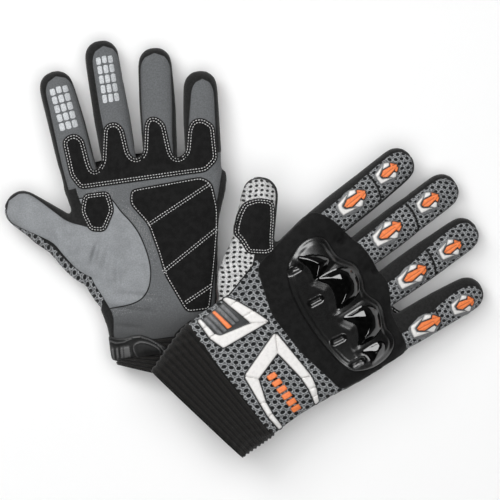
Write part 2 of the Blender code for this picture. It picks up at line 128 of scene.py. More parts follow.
# How far each digit's soft panel stays inside its outline, in mm: on the thumb's side at the root
# and at the tip, on the other side at the root and at the tip, and at the end.
PALM_INSETS = {"index": (3.6, 4.2, 0.2, 0.3, 4.2), "middle": (6.0, 5.2, 0.2, 0.3, 4.6),
               "ring": (1.0, 1.0, 3.4, 1.4, 4.2), "little": (0.8, 4.4, 4.4, 3.8, 5.6),
               "thumb": (8.5, 2.2, 4.2, 0.5, 0.8)}
BACK_INSETS = {"index": (6.5, 3.8, 0.8, 0.8, 1.2), "middle": (5.0, 3.4, 0.8, 0.8, 1.2),
               "ring": (9.5, 3.6, 1.2, 0.8, 1.4), "little": (13.0, 5.0, 0.8, 0.8, 1.6),
               "thumb": (0.8, 0.8, 0.8, 0.8, 0.6)}

# Outlines in mm. Those on the back are drawn on the right glove and those on the palm on the left
# one, and fitted() stretches them to the other glove.
KNUCKLE_PANEL = [(-50.2, 61), (-52.4, 70), (-53.5, 84), (-55.6, 102), (-57, 117), (-44, 123.5), (-15, 129),
                 (14, 128), (36, 116), (62, 110), (59, 80), (54.6, 56), (15, 49), (-18, 49)]
GUARD = [(-40, 81), (-33, 74), (-23.5, 69.4), (-13, 66.7), (-2, 65), (12, 64), (26, 64.5), (39, 65.7),
         (48, 69.7), (53, 76.8), (56, 86), (56, 96.5), (52, 104), (46, 107.4), (39.5, 106.4), (34, 109),
         (26, 113.4), (20, 113.4), (13.5, 110.4), (8, 110.4), (2.5, 114), (-4, 117), (-10.5, 116.8),
         (-16, 113.2), (-21, 110.2), (-27, 110.4), (-34.5, 111.5), (-39.5, 109.4), (-44.4, 101.5), (-44, 91)]
# The polished domes, drawn round: each one has two points and runs into the next.
DOMES = [[(-39.5, 86.4), (-36, 94), (-30, 101), (-23.6, 105), (-20, 98), (-18, 86.6), (-27.4, 89.4)],
         [(-19.2, 87.4), (-17.5, 97), (-15, 106.5), (-9.3, 112.2), (0.8, 111.5), (7.5, 105.7), (8.6, 96.3),
          (7.4, 86.2), (0.3, 90.8), (-9, 93.7)],
         [(13.5, 85.5), (14.5, 96), (15.5, 103), (20.5, 108), (28.6, 108.5), (36.5, 103.3), (38.5, 95),
          (36.3, 82.3), (30.7, 87.6), (23.7, 91.2)],
         [(40.4, 81.5), (41, 90), (42.8, 98), (47.5, 99), (52.6, 93), (53.4, 82.5), (48.8, 84.5),
          (45, 84.5)]]
DOME_RISE, DOME_ROUND, DOME_POWER = 5.6, 9.0, 1.6
# Each vent's middle and its turn in degrees.
VENTS = [(-33.0, 80.2, 80), (-6.8, 78.6, 80), (24.2, 74.6, 78), (45.0, 76.0, 76)]
VENT_HALF = (5.6, 2.2)
RIB_BASE = [(-45, 8), (-23, 10), (-17.5, 42), (-24, 41), (-45, 33)]
BRACKET = [(-46, 6.5), (-31.5, 5.3), (-20.5, 8.5), (-15.5, 45), (-27, 41.2), (-40.5, 36), (-47, 32),
           (-47, 29.3), (-41.5, 30), (-22.6, 34), (-28.5, 12.4), (-32, 9.8), (-46, 9)]
BRACKET_CUTS = [((-40.7, 28), (-40.4, 38)), ((-29.3, 31), (-27.9, 43)), ((-31.5, 4), (-31.9, 11)),
                ((-39.3, 4), (-39.6, 10)), ((-24, 31.5), (-14, 46.5))]
RIB_ROWS = [13.2, 17.0, 20.8, 24.6, 28.0]
ARROW = [(49, 5.3), (36.5, 4), (25.5, 5.2), (5, 7.8), (3.3, 9.5), (-6.8, 42), (-5.2, 44), (33, 45),
         (40.5, 43.2), (51, 39), (51, 35.8), (39, 38), (29, 38.5), (5.5, 36), (11.5, 14.7), (27.5, 9),
         (38, 7.8), (49, 8.3)]
ARROW_CUTS = [((3, 7), (12.5, 16)), ((25.2, 3), (27.9, 11)), ((36.5, 2), (36.8, 10)),
              ((28.3, 36), (33.8, 47)), ((38.6, 36), (41, 45)), ((44.8, 35), (46, 43)),
              ((-8, 44.5), (7, 35))]
NAME_BAR = (13, 47, 19.8, 26.6)         # its left, right, foot and head
NAME_BLOCKS = 6
# Badges on the fingers: u across, v along the finger, for the longer lower ones.
BADGE = [(-3.8, -10.8), (3.8, -10.8), (7.2, -0.5), (7.0, 4.5), (4.0, 10.0), (0.0, 12.6), (-4.0, 10.0),
         (-7.0, 4.5), (-7.2, -0.5)]
BADGE_WHITES = [[(-6.4, 1.4), (-4.9, -9.0), (-1.4, -10.4), (3.3, -10.4), (5.5, 1.8), (0.8, -6.9),
                 (-2.3, -7.3), (-5.0, -1.0)],
                [(-7.3, 3.9), (-5.2, 7.7), (-3.3, 6.4), (-4.3, -0.6), (-6.0, 2.0)],
                [(2.5, 6.3), (4.2, 7.2), (6.7, 4.6), (5.9, 2.4), (3.2, -0.4)]]
LEAF = [(0.3, -6.0), (-1.6, -6.1), (-3.8, -1.4), (-2.7, 6.4), (-4.9, 8.3), (-0.7, 12.8), (2.4, 11.3),
        (4.2, 8.0), (1.8, 6.8), (2.7, -1.5)]
LEAF_RIDGES = [((-2.7, 6.4), (-0.9, 12.4)), ((1.8, 6.8), (0.5, 12.0)), ((-0.6, -5.8), (-0.4, 7.5))]
# Where the badges are: how far across the finger, and along it for the lower and the upper one.
BADGE_SPOTS = {"index": (-0.6, 15.0, 47.3), "middle": (-0.4, 15.6, 52.0), "ring": (2.4, 13.2, 46.5),
               "little": (3.4, 12.0, 42.5)}
UPPER_SCALE = (0.93, 0.76)              # the upper badges' size against the lower ones'
THUMB_PANEL = [(-13, 18), (-10.5, 26), (-2, 30.5), (7, 31), (11, 28.5), (13, 18), (14.2, 4), (16.2, -4),
               (11, -7.5), (-3, -9), (-9, -1), (-13.8, 3), (-14, 10)]
PALM_PATCH = [(-39, 108), (50, 109.5), (59, 117), (59.5, 141.5), (52, 147.5), (45, 147.5), (40.5, 142),
              (37, 125), (30.4, 121.5), (27.6, 126), (25.5, 147), (20, 152.5), (14, 152.5), (10.8, 148),
              (7.5, 128), (1.9, 125), (-1.6, 129), (-3.5, 147), (-8, 152), (-14, 152), (-18, 148.5),
              (-22, 125), (-27.7, 119.5), (-29.5, 124), (-32, 143), (-37, 147.5), (-43, 147),
              (-47.5, 143), (-45, 118)]
HEEL_PATCH = [(-4, 104), (46, 107), (53, 102), (55, 84), (53, 68), (48, 44), (41, 14), (24, 14),
              (12, 42), (9.5, 58), (5, 78), (-6, 94)]
HEEL_ROWS = [((5, 78), (51, 101)), ((11, 44), (53, 70)), ((24, 21), (44, 31))]
# Silver prints on the fingertips' palm side: the finger, the middle along it, and the size.
PRINTS = [("index", 40.5, (13.8, 32)), ("middle", 51.5, (12.6, 34))]
PRINT_COLUMNS, PRINT_ROWS, PRINT_GAP, PRINT_SHIFT = 3, 5, 0.95, 1.6
CROTCH_PATCH = [(-36, 78.5), (-25, 76.5), (-16.5, 91), (-19, 105), (-37, 105), (-41, 93)]
THUMB_SEAM = [(-60, 102), (-19.3, 102), (-12.5, 89.4), (-6.4, 81.6), (-1.2, 71.8), (2.6, 57.2), (3.3, 45.1),
              (0.5, 34.2), (-5.3, 27.1), (-14.8, 24.1), (-60, 22)]
# Folds in the palm: the two ends of each and its depth.
CREASES = [((-31, 70), (-37, 56), 2.1), ((-19.8, 54), (-20.5, 38), 1.2), ((-62, 82), (-60.5, 73), 1.3),
           ((-52, 84), (-47, 71), 1.0), ((-33, 25), (2, 17), 1.3), ((-30, 12), (-8, 7), 1.1),
           ((-24, 66), (-29, 50), 1.0), ((-22, 33), (6, 27), 0.9)]
NET_BASE = [(-100, 20), (-78, 74), (-60, 68), (-53, 60), (-46, 31), (-52, 14), (-70, 10)]
STRAP = [(-32, 5), (-32, -7), (-31.6, -12.4), (-19, -16.3), (-9.8, -21), (-1.7, -24.1), (1.9, -23.1),
         (9.2, -10.5), (6.1, -6.7), (1.5, -3.3), (-3.7, 0.1), (-9.7, 3), (-14.6, 2.9), (-21.8, 1.7),
         (-26.7, 2.5)]
STRAP_WAVE = [(-32, 1.1), (-27, -1.2), (-22, -1.1), (-14.8, 1.3), (-9.8, 1.2), (-3.8, -1.6), (1.2, -5),
              (5.4, -10.4)]
STRAP_OVAL = [(-15.6, -4.7), (-13.2, -2.9), (-9.6, -2.3), (-4.2, -4), (1, -7.5), (3.2, -10.6), (-2.3, -20.8),
              (-6.2, -20), (-11.9, -15.1), (-15.4, -9)]
STRAP_EDGES = [((5.4, -10.4), (-1.8, -21.8)), ((8.2, -10.6), (1.1, -22.4))]
STRAP_RIBS = [(-30.4, 0.9), (-27.3, 0.9), (-24.1, 1.0), (-20.4, 2.3)]      # middle and half width
STRAP_RIBS_Y, STRAP_RIBS_REACH = -8.2, 4.2
STRAP_RAISED = 0.9                      # height of its wavy line, which scales the paler tone of the raised lines: partly wear, partly painted highlight

# Holes in the fabric: the turn of their rows, the pitch and the holes' half size in mm, and the
# shifts of the rows, as shares of the pitch.
FINER = 0.84                            # the fingers' mesh is this much finer than the hand's
HAND_MESH = (radians(52), (5.1, 7.9), (1.8, 1.45), (0.0, 0.5))
FINGER_MESH = (radians(52), (5.1 * FINER, 7.9 * FINER), (1.8 * FINER, 1.45 * FINER), (0.0, 0.5))
NET = (radians(-38), (3.3, 3.9), (0.9, 1.1), (0.0,))
SAG, SAG_WAVE = 0.55, (0.37, 0.29)      # the rows wander by this much, in mm, at these rates
FINGERS_FROM = 88                       # past this y the mesh is the fingers' one
PANEL_MIDDLE = 66                       # and the hand's one ends here, under the knuckle panel


# ---------------------------------------------------------------- plane geometry

def read(table, t):
    """The values at t of a smooth curve through the table's (t, value) pairs."""
    keys, values = (np.array(column, float) for column in zip(*table))
    t = np.asarray(t, float)
    ahead = np.minimum(np.arange(len(keys)) + 1, len(keys) - 1)
    behind = np.maximum(np.arange(len(keys)) - 1, 0)
    slopes = (values[ahead] - values[behind]) / (keys[ahead] - keys[behind])
    i = np.clip(np.searchsorted(keys, t, side="right") - 1, 0, len(keys) - 2)
    step = keys[i + 1] - keys[i]
    w = np.clip((t - keys[i]) / step, 0, 1)
    return (values[i] * (1 + 2 * w) * (1 - w) ** 2 + values[i + 1] * w * w * (3 - 2 * w)
            + step * w * (1 - w) * (slopes[i] * (1 - w) - slopes[i + 1] * w))


def ramp(value, low, high):
    """0 below low, 1 above high and smooth between."""
    t = np.clip((value - low) / (high - low), 0, 1)
    return t * t * (3 - 2 * t)


def inside(points, outline):
    """How far each point is inside the outline. It is negative outside, and -9 far from it."""
    points, outline = np.asarray(points, float)[:, :2], np.array(outline, float)
    if len(points) > 5000:
        low, high = outline.min(0) - 9, outline.max(0) + 9
        near = ((points > low) & (points < high)).all(1)
        result = np.full(len(points), -9.0)
        for some in np.array_split(np.flatnonzero(near), near.sum() // 4000 + 1):
            result[some] = np.maximum(inside(points[some], outline), -9)
        return result
    points, a = points[:, None], outline[None]
    b = np.roll(a, -1, 1)
    along = b - a
    t = np.clip(((points - a) * along).sum(2) / np.maximum((along ** 2).sum(2), 1e-9), 0, 1)
    distance = np.linalg.norm(points - a - t[..., None] * along, axis=2).min(1)
    px, py = points[..., 0], points[..., 1]
    crosses = (a[..., 1] > py) != (b[..., 1] > py)
    span = np.where(crosses, b[..., 1] - a[..., 1], 1.0)
    left = px < (py - a[..., 1]) / span * (b[..., 0] - a[..., 0]) + a[..., 0]
    return np.where((crosses & left).sum(1) % 2 == 1, distance, -distance)


def soften(outline, radius, steps=5):
    """The outline with each corner rounded to about radius."""
    points = [np.array(p, float) for p in outline]
    result = []
    for i, corner in enumerate(points):
        before, after = points[i - 1] - corner, points[(i + 1) % len(points)] - corner
        reach = [min(radius, 0.45 * np.linalg.norm(d)) / np.linalg.norm(d) for d in (before, after)]
        a, b = corner + before * reach[0], corner + after * reach[1]
        for k in range(steps + 1):
            t = k / steps
            result.append(a * (1 - t) ** 2 + corner * 2 * t * (1 - t) + b * t * t)
    return np.array(result)


def resample(path, step, closed):
    """Points at equal steps along a path, with the direction at each."""
    path = np.array(path, float)
    if closed:
        path = np.vstack([path, path[:1]])
    lengths = np.r_[0, np.cumsum(np.linalg.norm(np.diff(path, axis=0), axis=1))]
    count = max(int(round(lengths[-1] / step)), 2)
    at = (np.arange(count) + (0.0 if closed else 0.5)) * lengths[-1] / count
    points = np.stack([np.interp(at, lengths, path[:, k]) for k in (0, 1)], 1)
    ahead = np.stack([np.interp(np.minimum(at + 0.4, lengths[-1]), lengths, path[:, k]) for k in (0, 1)], 1)
    behind = np.stack([np.interp(np.maximum(at - 0.4, 0), lengths, path[:, k]) for k in (0, 1)], 1)
    direction = ahead - behind
    return points, direction / np.linalg.norm(direction, axis=1)[:, None]


def grown(outline, distance, step=0.8):
    """The closed outline moved outwards by distance."""
    points, direction = resample(outline, step, True)
    area = (points[:, 0] * np.roll(points[:, 1], -1) - np.roll(points[:, 0], -1) * points[:, 1]).sum()
    outward = np.stack([direction[:, 1], -direction[:, 0]], 1) * np.sign(area)
    return points + outward * distance


def inset(outline, distance):
    """The closed outline moved inwards by distance, without the loops this makes in its corners."""
    moved = grown(outline, -distance, 1.0)
    return moved[inside(moved, outline) > distance * 0.9]


def nearest(xy, a, b):
    """How far each point is from the line a to b, and where along the line, 0 to 1, it is nearest."""
    a, b = np.array(a, float), np.array(b, float)
    t = np.clip((xy - a) @ (b - a) / ((b - a) @ (b - a)), 0, 1)
    return np.linalg.norm(xy - a - t[:, None] * (b - a), axis=1), t


def beside(xy, path):
    """How far each point is from an open path."""
    return np.min([nearest(xy, a, b)[0] for a, b in zip(path, path[1:])], axis=0)


# ---------------------------------------------------------------- the glove's frame

class Digit:
    """One finger or thumb: u runs across it and v along it, from its root."""

    def __init__(self, name, spec):
        self.name = name
        self.x, self.y, self.lean, self.bend, self.length, self.width = spec
        self.cos, self.sin = cos(radians(self.lean)), sin(radians(self.lean))
        self.halves = THUMB_HALF if name == "thumb" else FINGER_HALF
        self.taper = THUMB_TAPER if name == "thumb" else FINGER_TAPER

    def local(self, x, y):
        dx, dy = np.asarray(x) - self.x, np.asarray(y) - self.y
        return dx * self.cos - dy * self.sin, dx * self.sin + dy * self.cos

    def hand(self, u, v):
        return self.x + u * self.cos + v * self.sin, self.y - u * self.sin + v * self.cos

    def half_width(self, v):
        half = self.width / 2 * (1 - self.taper * np.clip(v / self.length, 0, 1))
        return half + (read(THUMB_BALL, v) if self.name == "thumb" else 0.0)

    def edges(self, v):
        """The sides at v. Neighbouring fingers stand a little apart at their roots."""
        half, apart = self.half_width(v), 1.3 * (1 - ramp(v, 0, 34))
        low = -half + apart * (self.name in ("middle", "ring", "little"))
        return low, half - apart * (self.name in ("index", "middle", "ring"))

    def outline(self, insets, start):
        """Its outline on the hand from start to the tip, inside its sides by the insets."""
        low_root, low_tip, high_root, high_tip, end = insets
        top = self.length - end
        v = np.linspace(start, top, 30)
        w = ramp(v, 0, self.length * 0.8)
        low, high = self.edges(v)
        low, high = low + low_root + (low_tip - low_root) * w, high - high_root - (high_tip - high_root) * w
        shoulder = 12.5                 # the end is rounded over this length
        round_off = np.sqrt(np.clip(1 - np.clip((v - top + shoulder) / shoulder, 0, 1) ** 2.2, 0, 1))
        middle, half = (low + high) / 2, (high - low) / 2 * round_off
        u = np.r_[middle - half, (middle + half)[::-1]]
        return np.stack(self.hand(u, np.r_[v, v[::-1]]), 1)


class Glove:
    def __init__(self, side):
        self.side = side
        self.spec = GLOVES[side]
        self.up = self.spec["up"]
        self.digits = {name: Digit(name, spec) for name, spec in self.spec["digits"].items()}
        turn = Euler((0, radians(self.spec["tilt"]), 0)).to_matrix() @ Euler(
            (0, 0, radians(self.spec["yaw"]))).to_matrix()
        self.turn = np.array(turn)
        self.surface = {}

    def place(self, points):
        """Points of the flat frame in mm, on the table in metres."""
        x, y, n = np.asarray(points, float).T
        z = read(self.spec["middle"], y) - 0.08 * np.maximum(-x - 58, 0) + self.up * n
        return (np.stack([x, y, z], 1) @ self.turn.T + self.spec["at"]) * MM

    def span(self, y):
        return read(self.spec["edge_thumb"], y), read(self.spec["edge_little"], y)

    def fitted(self, outline, face):
        """An outline drawn on the glove that shows that face, stretched across to fit this one."""
        points = np.array(outline, float)
        drawn = GLOVES["right" if face == BACK else "left"]
        low, high = (read(drawn[key], points[:, 1]) for key in ("edge_thumb", "edge_little"))
        here_low, here_high = self.span(points[:, 1])
        across = points[:, 0].copy()
        points[:, 0] = here_low + (across - low) / (high - low) * (here_high - here_low)
        if face == PALM and drawn is not self.spec:
            digits = [(Digit(name, drawn["digits"][name]), self.digits[name]) for name in FINGERS]
            for i, (x, y) in enumerate(zip(across, points[:, 1])):
                there, here = min(digits, key=lambda pair: abs(pair[0].local(x, y)[0]))
                u, v = there.local(x, y)
                moved = np.array(here.hand(u * min(here.width / there.width, 1.0), v))
                points[i] += (moved - points[i]) * ramp(y, 116, 124)
        return points

    def shape(self, outline, face, radius):
        """The same outline fitted to this glove, with its corners rounded."""
        return soften(self.fitted(outline, face), radius)

    def height(self, xy, face, smooth=False):
        """How far the finished skin is from the middle surface at these points."""
        grid = self.surface[face, smooth]
        gx = np.clip(xy[:, 0] - GRID_LOW[0], 0, grid.shape[0] - 1.001)
        gy = np.clip(xy[:, 1] - GRID_LOW[1], 0, grid.shape[1] - 1.001)
        i, j = gx.astype(int), gy.astype(int)
        fx, fy = gx - i, gy - j
        return (grid[i, j] * (1 - fx) * (1 - fy) + grid[i + 1, j] * fx * (1 - fy)
                + grid[i, j + 1] * (1 - fx) * fy + grid[i + 1, j + 1] * fx * fy)


GRID_LOW, GRID_HIGH = (-115, -50), (90, 225)     # the surveyed part of the flat frame, in mm


def blur(grid, times):
    """The grid with each cell averaged with its eight neighbours, so many times."""
    for _ in range(times):
        padded = np.pad(grid, 1, mode="edge")
        grid = sum(padded[i:i + grid.shape[0], j:j + grid.shape[1]] for i in range(3) for j in range(3)) / 9
    return grid


def survey(glove, points, faces):
    """Reads the skin's height over a 1 mm grid, on both faces, and a smoothed copy for hard parts."""
    tree = BVHTree.FromPolygons(points.tolist(), faces.tolist())
    xs = range(GRID_LOW[0], GRID_HIGH[0])
    ys = range(GRID_LOW[1], GRID_HIGH[1])
    for face in (BACK, PALM):
        grid = np.full((len(xs), len(ys)), np.nan)
        for i, x in enumerate(xs):
            for j, y in enumerate(ys):
                hit = tree.ray_cast(Vector((x, y, face * 60)), Vector((0, 0, -face)))[0]
                if hit:
                    grid[i, j] = hit.z * face
        known = ~np.isnan(grid)
        filled = np.where(known, grid, 0.0)
        for _ in range(12):
            weight = blur(known.astype(float), 1)
            spread = blur(filled, 1) / np.maximum(weight, 1e-6)
            filled = np.where(known, filled, np.where(weight > 0, spread, 0))
            known = known | (weight > 0)
        glove.surface[face, False] = filled
        glove.surface[face, True] = blur(filled, 6)


# ---------------------------------------------------------------- making pieces

def regions(glove, xy):
    """Which part of the glove carries each point: 0 the hand, then two for each digit."""
    owner = np.zeros(len(xy), int)
    closest = np.full(len(xy), 1.25)
    for k, digit in enumerate(glove.digits.values()):
        u, v = digit.local(xy[:, 0], xy[:, 1])
        share = np.abs(u) / digit.half_width(v)
        mine = (v > BEND_FROM) & (share < closest)
        closest = np.where(mine, share, closest)
        owner = np.where(mine, 1 + 2 * k + (v > digit.bend - FLEX), owner)
    return owner


def padded_index(faces):
    """The faces as rows of four corners, where a triangle repeats its last one."""
    if isinstance(faces, np.ndarray):
        return faces
    return np.array([f if len(f) == 4 else (*f, f[-1]) for f in faces], int)


def corner_normals(points, faces):
    """A smooth normal at each point, from the faces round it."""
    index = padded_index(faces)
    p = points[index]
    turn = np.cross(p[:, 2] - p[:, 0], p[:, 3] - p[:, 1])
    lone = index[:, 2] == index[:, 3]
    turn[lone] = np.cross(p[lone, 1] - p[lone, 0], p[lone, 2] - p[lone, 0])
    normals = np.stack([sum(np.bincount(index[:, c], turn[:, k], len(points)) for c in range(4))
                        for k in range(3)], 1)
    return normals / np.maximum(np.linalg.norm(normals, axis=1), 1e-12)[:, None]


def make(name, glove, points, faces, finish, values=None, normals=None):
    """A piece from points in the glove's flat frame, which it keeps as its pattern coordinates."""
    world = glove.place(points)
    if glove.up < 0:
        faces = [tuple(reversed(f)) for f in faces]
    mesh = bpy.data.meshes.new(name)
    mesh.from_pydata(world.tolist(), [], faces, shade_flat=False)
    mesh.attributes.new("flat", "FLOAT_VECTOR", "POINT").data.foreach_set(
        "vector", np.asarray(points, np.float32).ravel())
    for key, value in (values or {}).items():
        mesh.attributes.new(key, "FLOAT", "POINT").data.foreach_set("value", value.astype(np.float32))
    mesh.materials.append(finish)
    piece = bpy.data.objects.new(name, mesh)
    bpy.context.scene.collection.objects.link(piece)
    if normals is not None:
        mesh.normals_split_custom_set_from_vertices(normals.tolist())
    return piece


def part_of(glove, region):
    """The digit that a region above 0 lies on, and whether it is the far length of it."""
    return list(glove.digits.values())[(region - 1) // 2], region % 2 == 0


def carry(piece, glove, region):
    """Makes a piece on the hand move with it. A piece on a digit only has its placement baked in; the span
    along the digit is worked out but not used.
    """
    hand = f"{glove.side}_glove"
    if region == 0:
        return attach(piece, hand)
    digit, upper = part_of(glove, region)
    span = (digit.bend - FLEX, digit.bend + FLEX) if upper else (BEND_FROM, BEND_TO)
    start, end = (glove.place([[*digit.hand(0, v), 0.0]])[0] for v in span)
    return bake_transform(piece)


def region_name(glove, region):
    if region == 0:
        return "hand"
    digit, upper = part_of(glove, region)
    return f"{digit.name}_{'upper' if upper else 'lower'}"


def deal_out(label, glove, points, faces, finish, values=None, hard=False):
    """Makes one piece for each part of the glove that the faces lie on. They share their borders,
    and their normals there, so that the joins don't show."""
    world = glove.place(points)
    normals = None if hard else corner_normals(world, faces) * (-1 if glove.up < 0 else 1)
    index = padded_index(faces)
    owner = regions(glove, points[index].mean(1))
    made = {}
    for region in np.unique(owner).tolist():
        used, renumbered = np.unique(index[owner == region], return_inverse=True)
        cells = [f[:3] if f[2] == f[3] else f for f in renumbered.reshape(-1, 4).tolist()]
        piece = make(f"{glove.side}_{region_name(glove, region)}_{label}", glove, points[used], cells,
                     finish, {k: v[used] for k, v in (values or {}).items()},
                     None if hard else normals[used])
        made[region] = carry(piece, glove, region)
    return made


def fill(outline, step, rings=()):
    """Points and triangles that fill an outline, with denser rings of points beside its edge."""
    outline = np.array(outline, float)
    edge = resample(outline, step, True)[0]
    extra = [inset(outline, ring) for ring in rings]
    low, high = outline.min(0), outline.max(0)
    xs, ys = np.arange(low[0], high[0], step), np.arange(low[1], high[1], step * 0.87)
    grid = np.array([(x + step / 2 * (j % 2), y) for j, y in enumerate(ys) for x in xs])
    clear = (rings[-1] if rings else 0) + step * 0.5
    grid = grid[inside(grid, edge) > clear]
    points = np.vstack([edge, *extra, grid])
    border = [(i, (i + 1) % len(edge)) for i in range(len(edge))]
    verts, _, tris, *_ = delaunay_2d_cdt([Vector(p) for p in points], border, [], 1, 1e-5)
    xy = np.array([v[:] for v in verts])
    tris = [tuple(t) if cross(xy[list(t)]) > 0 else tuple(reversed(t)) for t in tris]
    return xy, tris


def cross(p):
    a, b = p[1] - p[0], p[2] - p[0]
    return a[0] * b[1] - a[1] * b[0]


def sheet(xy, tris, face, low, high, closed=False):
    """A sheet between two heights above the middle surface, with a wall round its rim."""
    count = len(xy)
    points = np.vstack([np.c_[xy, face * high], np.c_[xy, face * low]])
    edges = {}
    for t in tris:
        for a, b in zip(t, t[1:] + t[:1]):
            edges[a, b] = True
    rim = [(a, b) for a, b in edges if (b, a) not in edges]
    faces = list(tris) + [(b, a, a + count, b + count) for a, b in rim]
    if closed:
        faces += [tuple(reversed([i + count for i in t])) for t in tris]
    if face == PALM:
        faces = [tuple(reversed(f)) for f in faces]
    used = np.unique(np.concatenate([np.array(f) for f in faces]))
    new = np.zeros(len(points), int)
    new[used] = np.arange(len(used))
    return points[used], [tuple(new[list(f)].tolist()) for f in faces], used


def crowned(depth, thickness, radius):
    """A plate's height at this depth inside its outline: rounded over at the edge."""
    t = np.clip(depth / radius, 0, 1)
    return thickness * (0.45 + 0.55 * np.sqrt(np.clip(1 - (1 - t) ** 2, 0, 1)))


def patch(glove, outline, face, thickness, step=1.5, radius=0.8, lift=0.0, smooth=False, relief=None,
          sink=0.6, closed=False):
    """A plate on the skin: its points, faces and depth inside the outline."""
    xy, tris = fill(outline, step, (0.25 * radius, radius))
    depth = np.maximum(inside(xy, outline), 0)
    base = glove.height(xy, face, smooth) + lift
    top = base + crowned(depth, thickness, radius)
    if relief is not None:
        top = top + relief(xy, depth)
    points, faces, used = sheet(xy, tris, face, base - sink, top, closed)
    return points, faces, np.r_[depth, np.zeros(len(xy))][used]


STITCH_RING = 6


def stitches(glove, paths, face, lift, pitch=2.0, length=1.5, width=0.62):
    """Thread standing on the surface, one small rounded capsule for each stitch."""
    along = np.array([-0.5, -0.36, 0.0, 0.36, 0.5])
    girth = np.array([0.25, 0.85, 1.0, 0.85, 0.25])
    height = np.array([-0.25, 0.1, 0.3, 0.1, -0.25])
    angle = 2 * pi * np.arange(STITCH_RING) / STITCH_RING
    template = np.arange(len(along) * STITCH_RING).reshape(-1, STITCH_RING).tolist()
    quads = [(a[i], a[(i + 1) % STITCH_RING], b[(i + 1) % STITCH_RING], b[i])
             for a, b in zip(template, template[1:]) for i in range(STITCH_RING)]
    ends = [list(reversed(template[0])), template[-1]]
    quads += [(e[a], e[a + 1], e[4 - a], e[5 - a]) for e in ends for a in (0, 1)]
    points, faces = [], []
    for path, closed in paths:
        at, direction = resample(path, pitch, closed)
        base = glove.height(at, face) + lift
        for p, d, h in zip(at, direction, base):
            side = np.array([-d[1], d[0]])
            rows = []
            for t, g, up in zip(along, girth, height):
                xy = p + d * t * length + side * (np.cos(angle) * width / 2 * g)[:, None]
                n = face * (h + up * width + np.sin(angle) * width / 2 * g)
                rows.append(np.c_[xy, n])
            start = len(points) * len(along) * STITCH_RING
            faces += [tuple(i + start for i in (q if face == BACK else reversed(q))) for q in quads]
            points.append(np.vstack(rows))
    return np.vstack(points), faces


# ---------------------------------------------------------------- the skin

def oval(low, high, half, sides=44):
    """A rounded section between two sides, with this half height."""
    angle = 2 * pi * np.arange(sides) / sides
    c, s = np.cos(angle), np.sin(angle)
    u = (low + high) / 2 + (high - low) / 2 * np.sign(c) * np.abs(c) ** (2 / ROUND)
    return u, half * np.sign(s) * np.abs(s) ** (2 / ROUND)


def tube(rings, start):
    """Points and faces of a closed tube through rings of points, numbered from start."""
    sides = len(rings[0])
    ids = np.arange(start, start + len(rings) * sides).reshape(-1, sides).tolist()
    faces = [(a[i], a[(i + 1) % sides], b[(i + 1) % sides], b[i])
             for a, b in zip(ids, ids[1:]) for i in range(sides)]
    return np.vstack(rings), faces + [tuple(reversed(ids[0])), tuple(ids[-1])]


def cage(glove):
    """Rough closed tubes for the hand and the digits, which the remesh joins to one skin."""
    def ring(digit, v, across=1.0, thick=1.0):
        low, high = digit.edges(v)
        u, n = oval(low * across, high * across, read(digit.halves, v) * thick)
        return np.stack([*digit.hand(u, v), n], 1)

    rings = []
    for s in [-4, 10, 25, 40, 55, 70, 85, 97, 107, 113, 117, 120, 122.5, 124.5, 126]:
        u, n = oval(*glove.span(s), read(HALF_THICKNESS, s))
        rings.append(np.stack([u, s * read(WEB_LINE, u) / 126, n], 1))
    tubes = [rings]
    for digit in glove.digits.values():
        back = 24.0                     # how far the tube runs into the hand
        if digit.name == "thumb":
            heel = glove.spec["thumb_heel"]
            back = np.hypot(digit.x - heel[0], digit.y - heel[1]) + 3
        rings = []
        for t in np.linspace(0, 1, 12):
            narrow = 0.75 + 0.25 * ramp(t, 0, 0.3) if digit.name == "thumb" else 0.97
            rings.append(ring(digit, -back * (1 - t), narrow, 0.8 + 0.17 * ramp(t, 0, 0.8)))
        shoulder, tip = 13.0, digit.length + TIP_SPARE
        rings += [ring(digit, v) for v in np.linspace(5, tip - shoulder, 10)]
        for reach in (0.3, 0.55, 0.75, 0.9, 0.98, 1.0):
            share = max((1 - reach ** TIP_POWER) ** (1 / TIP_POWER), 0.06)
            rings.append(ring(digit, tip - shoulder * (1 - reach), share, share))
        tubes.append(rings)
    points, faces = np.zeros((0, 3)), []
    for rings in tubes:
        more, joined = tube(rings, len(points))
        points, faces = np.vstack([points, more]), faces + joined
    return points, faces


def evaluated(mesh, modifiers, frames=0):
    """The mesh after modifiers, each (type, settings), and after some frames of simulation."""
    thing = bpy.data.objects.new("work", mesh)
    scene = bpy.context.scene
    scene.collection.objects.link(thing)
    for kind, settings in modifiers:
        modifier = thing.modifiers.new(kind, kind)
        for path, value in settings.items():
            owner = modifier
            *parents, last = path.split(".")
            for parent in parents:
                owner = getattr(owner, parent)
            setattr(owner, last, value)
    for frame_number in range(1, frames + 1):
        scene.frame_set(frame_number)
    result = bpy.data.meshes.new_from_object(thing.evaluated_get(bpy.context.evaluated_depsgraph_get()))
    bpy.data.objects.remove(thing)
    return result


def coordinates(mesh):
    co = np.zeros(len(mesh.vertices) * 3, np.float32)
    mesh.vertices.foreach_get("co", co)
    return co.reshape(-1, 3).astype(float)


CLOTH_FRAMES = 14
CLOTH = {
    "settings.quality": 4,
    "settings.mass": 0.3,
    "settings.tension_stiffness": 12,
    "settings.compression_stiffness": 12,
    "settings.shear_stiffness": 6,
    "settings.bending_stiffness": 0.6,
    "settings.use_pressure": True,
    "settings.uniform_pressure_force": 3.0,
    "settings.effector_weights.gravity": 0.0,
    "collision_settings.use_collision": False,
}


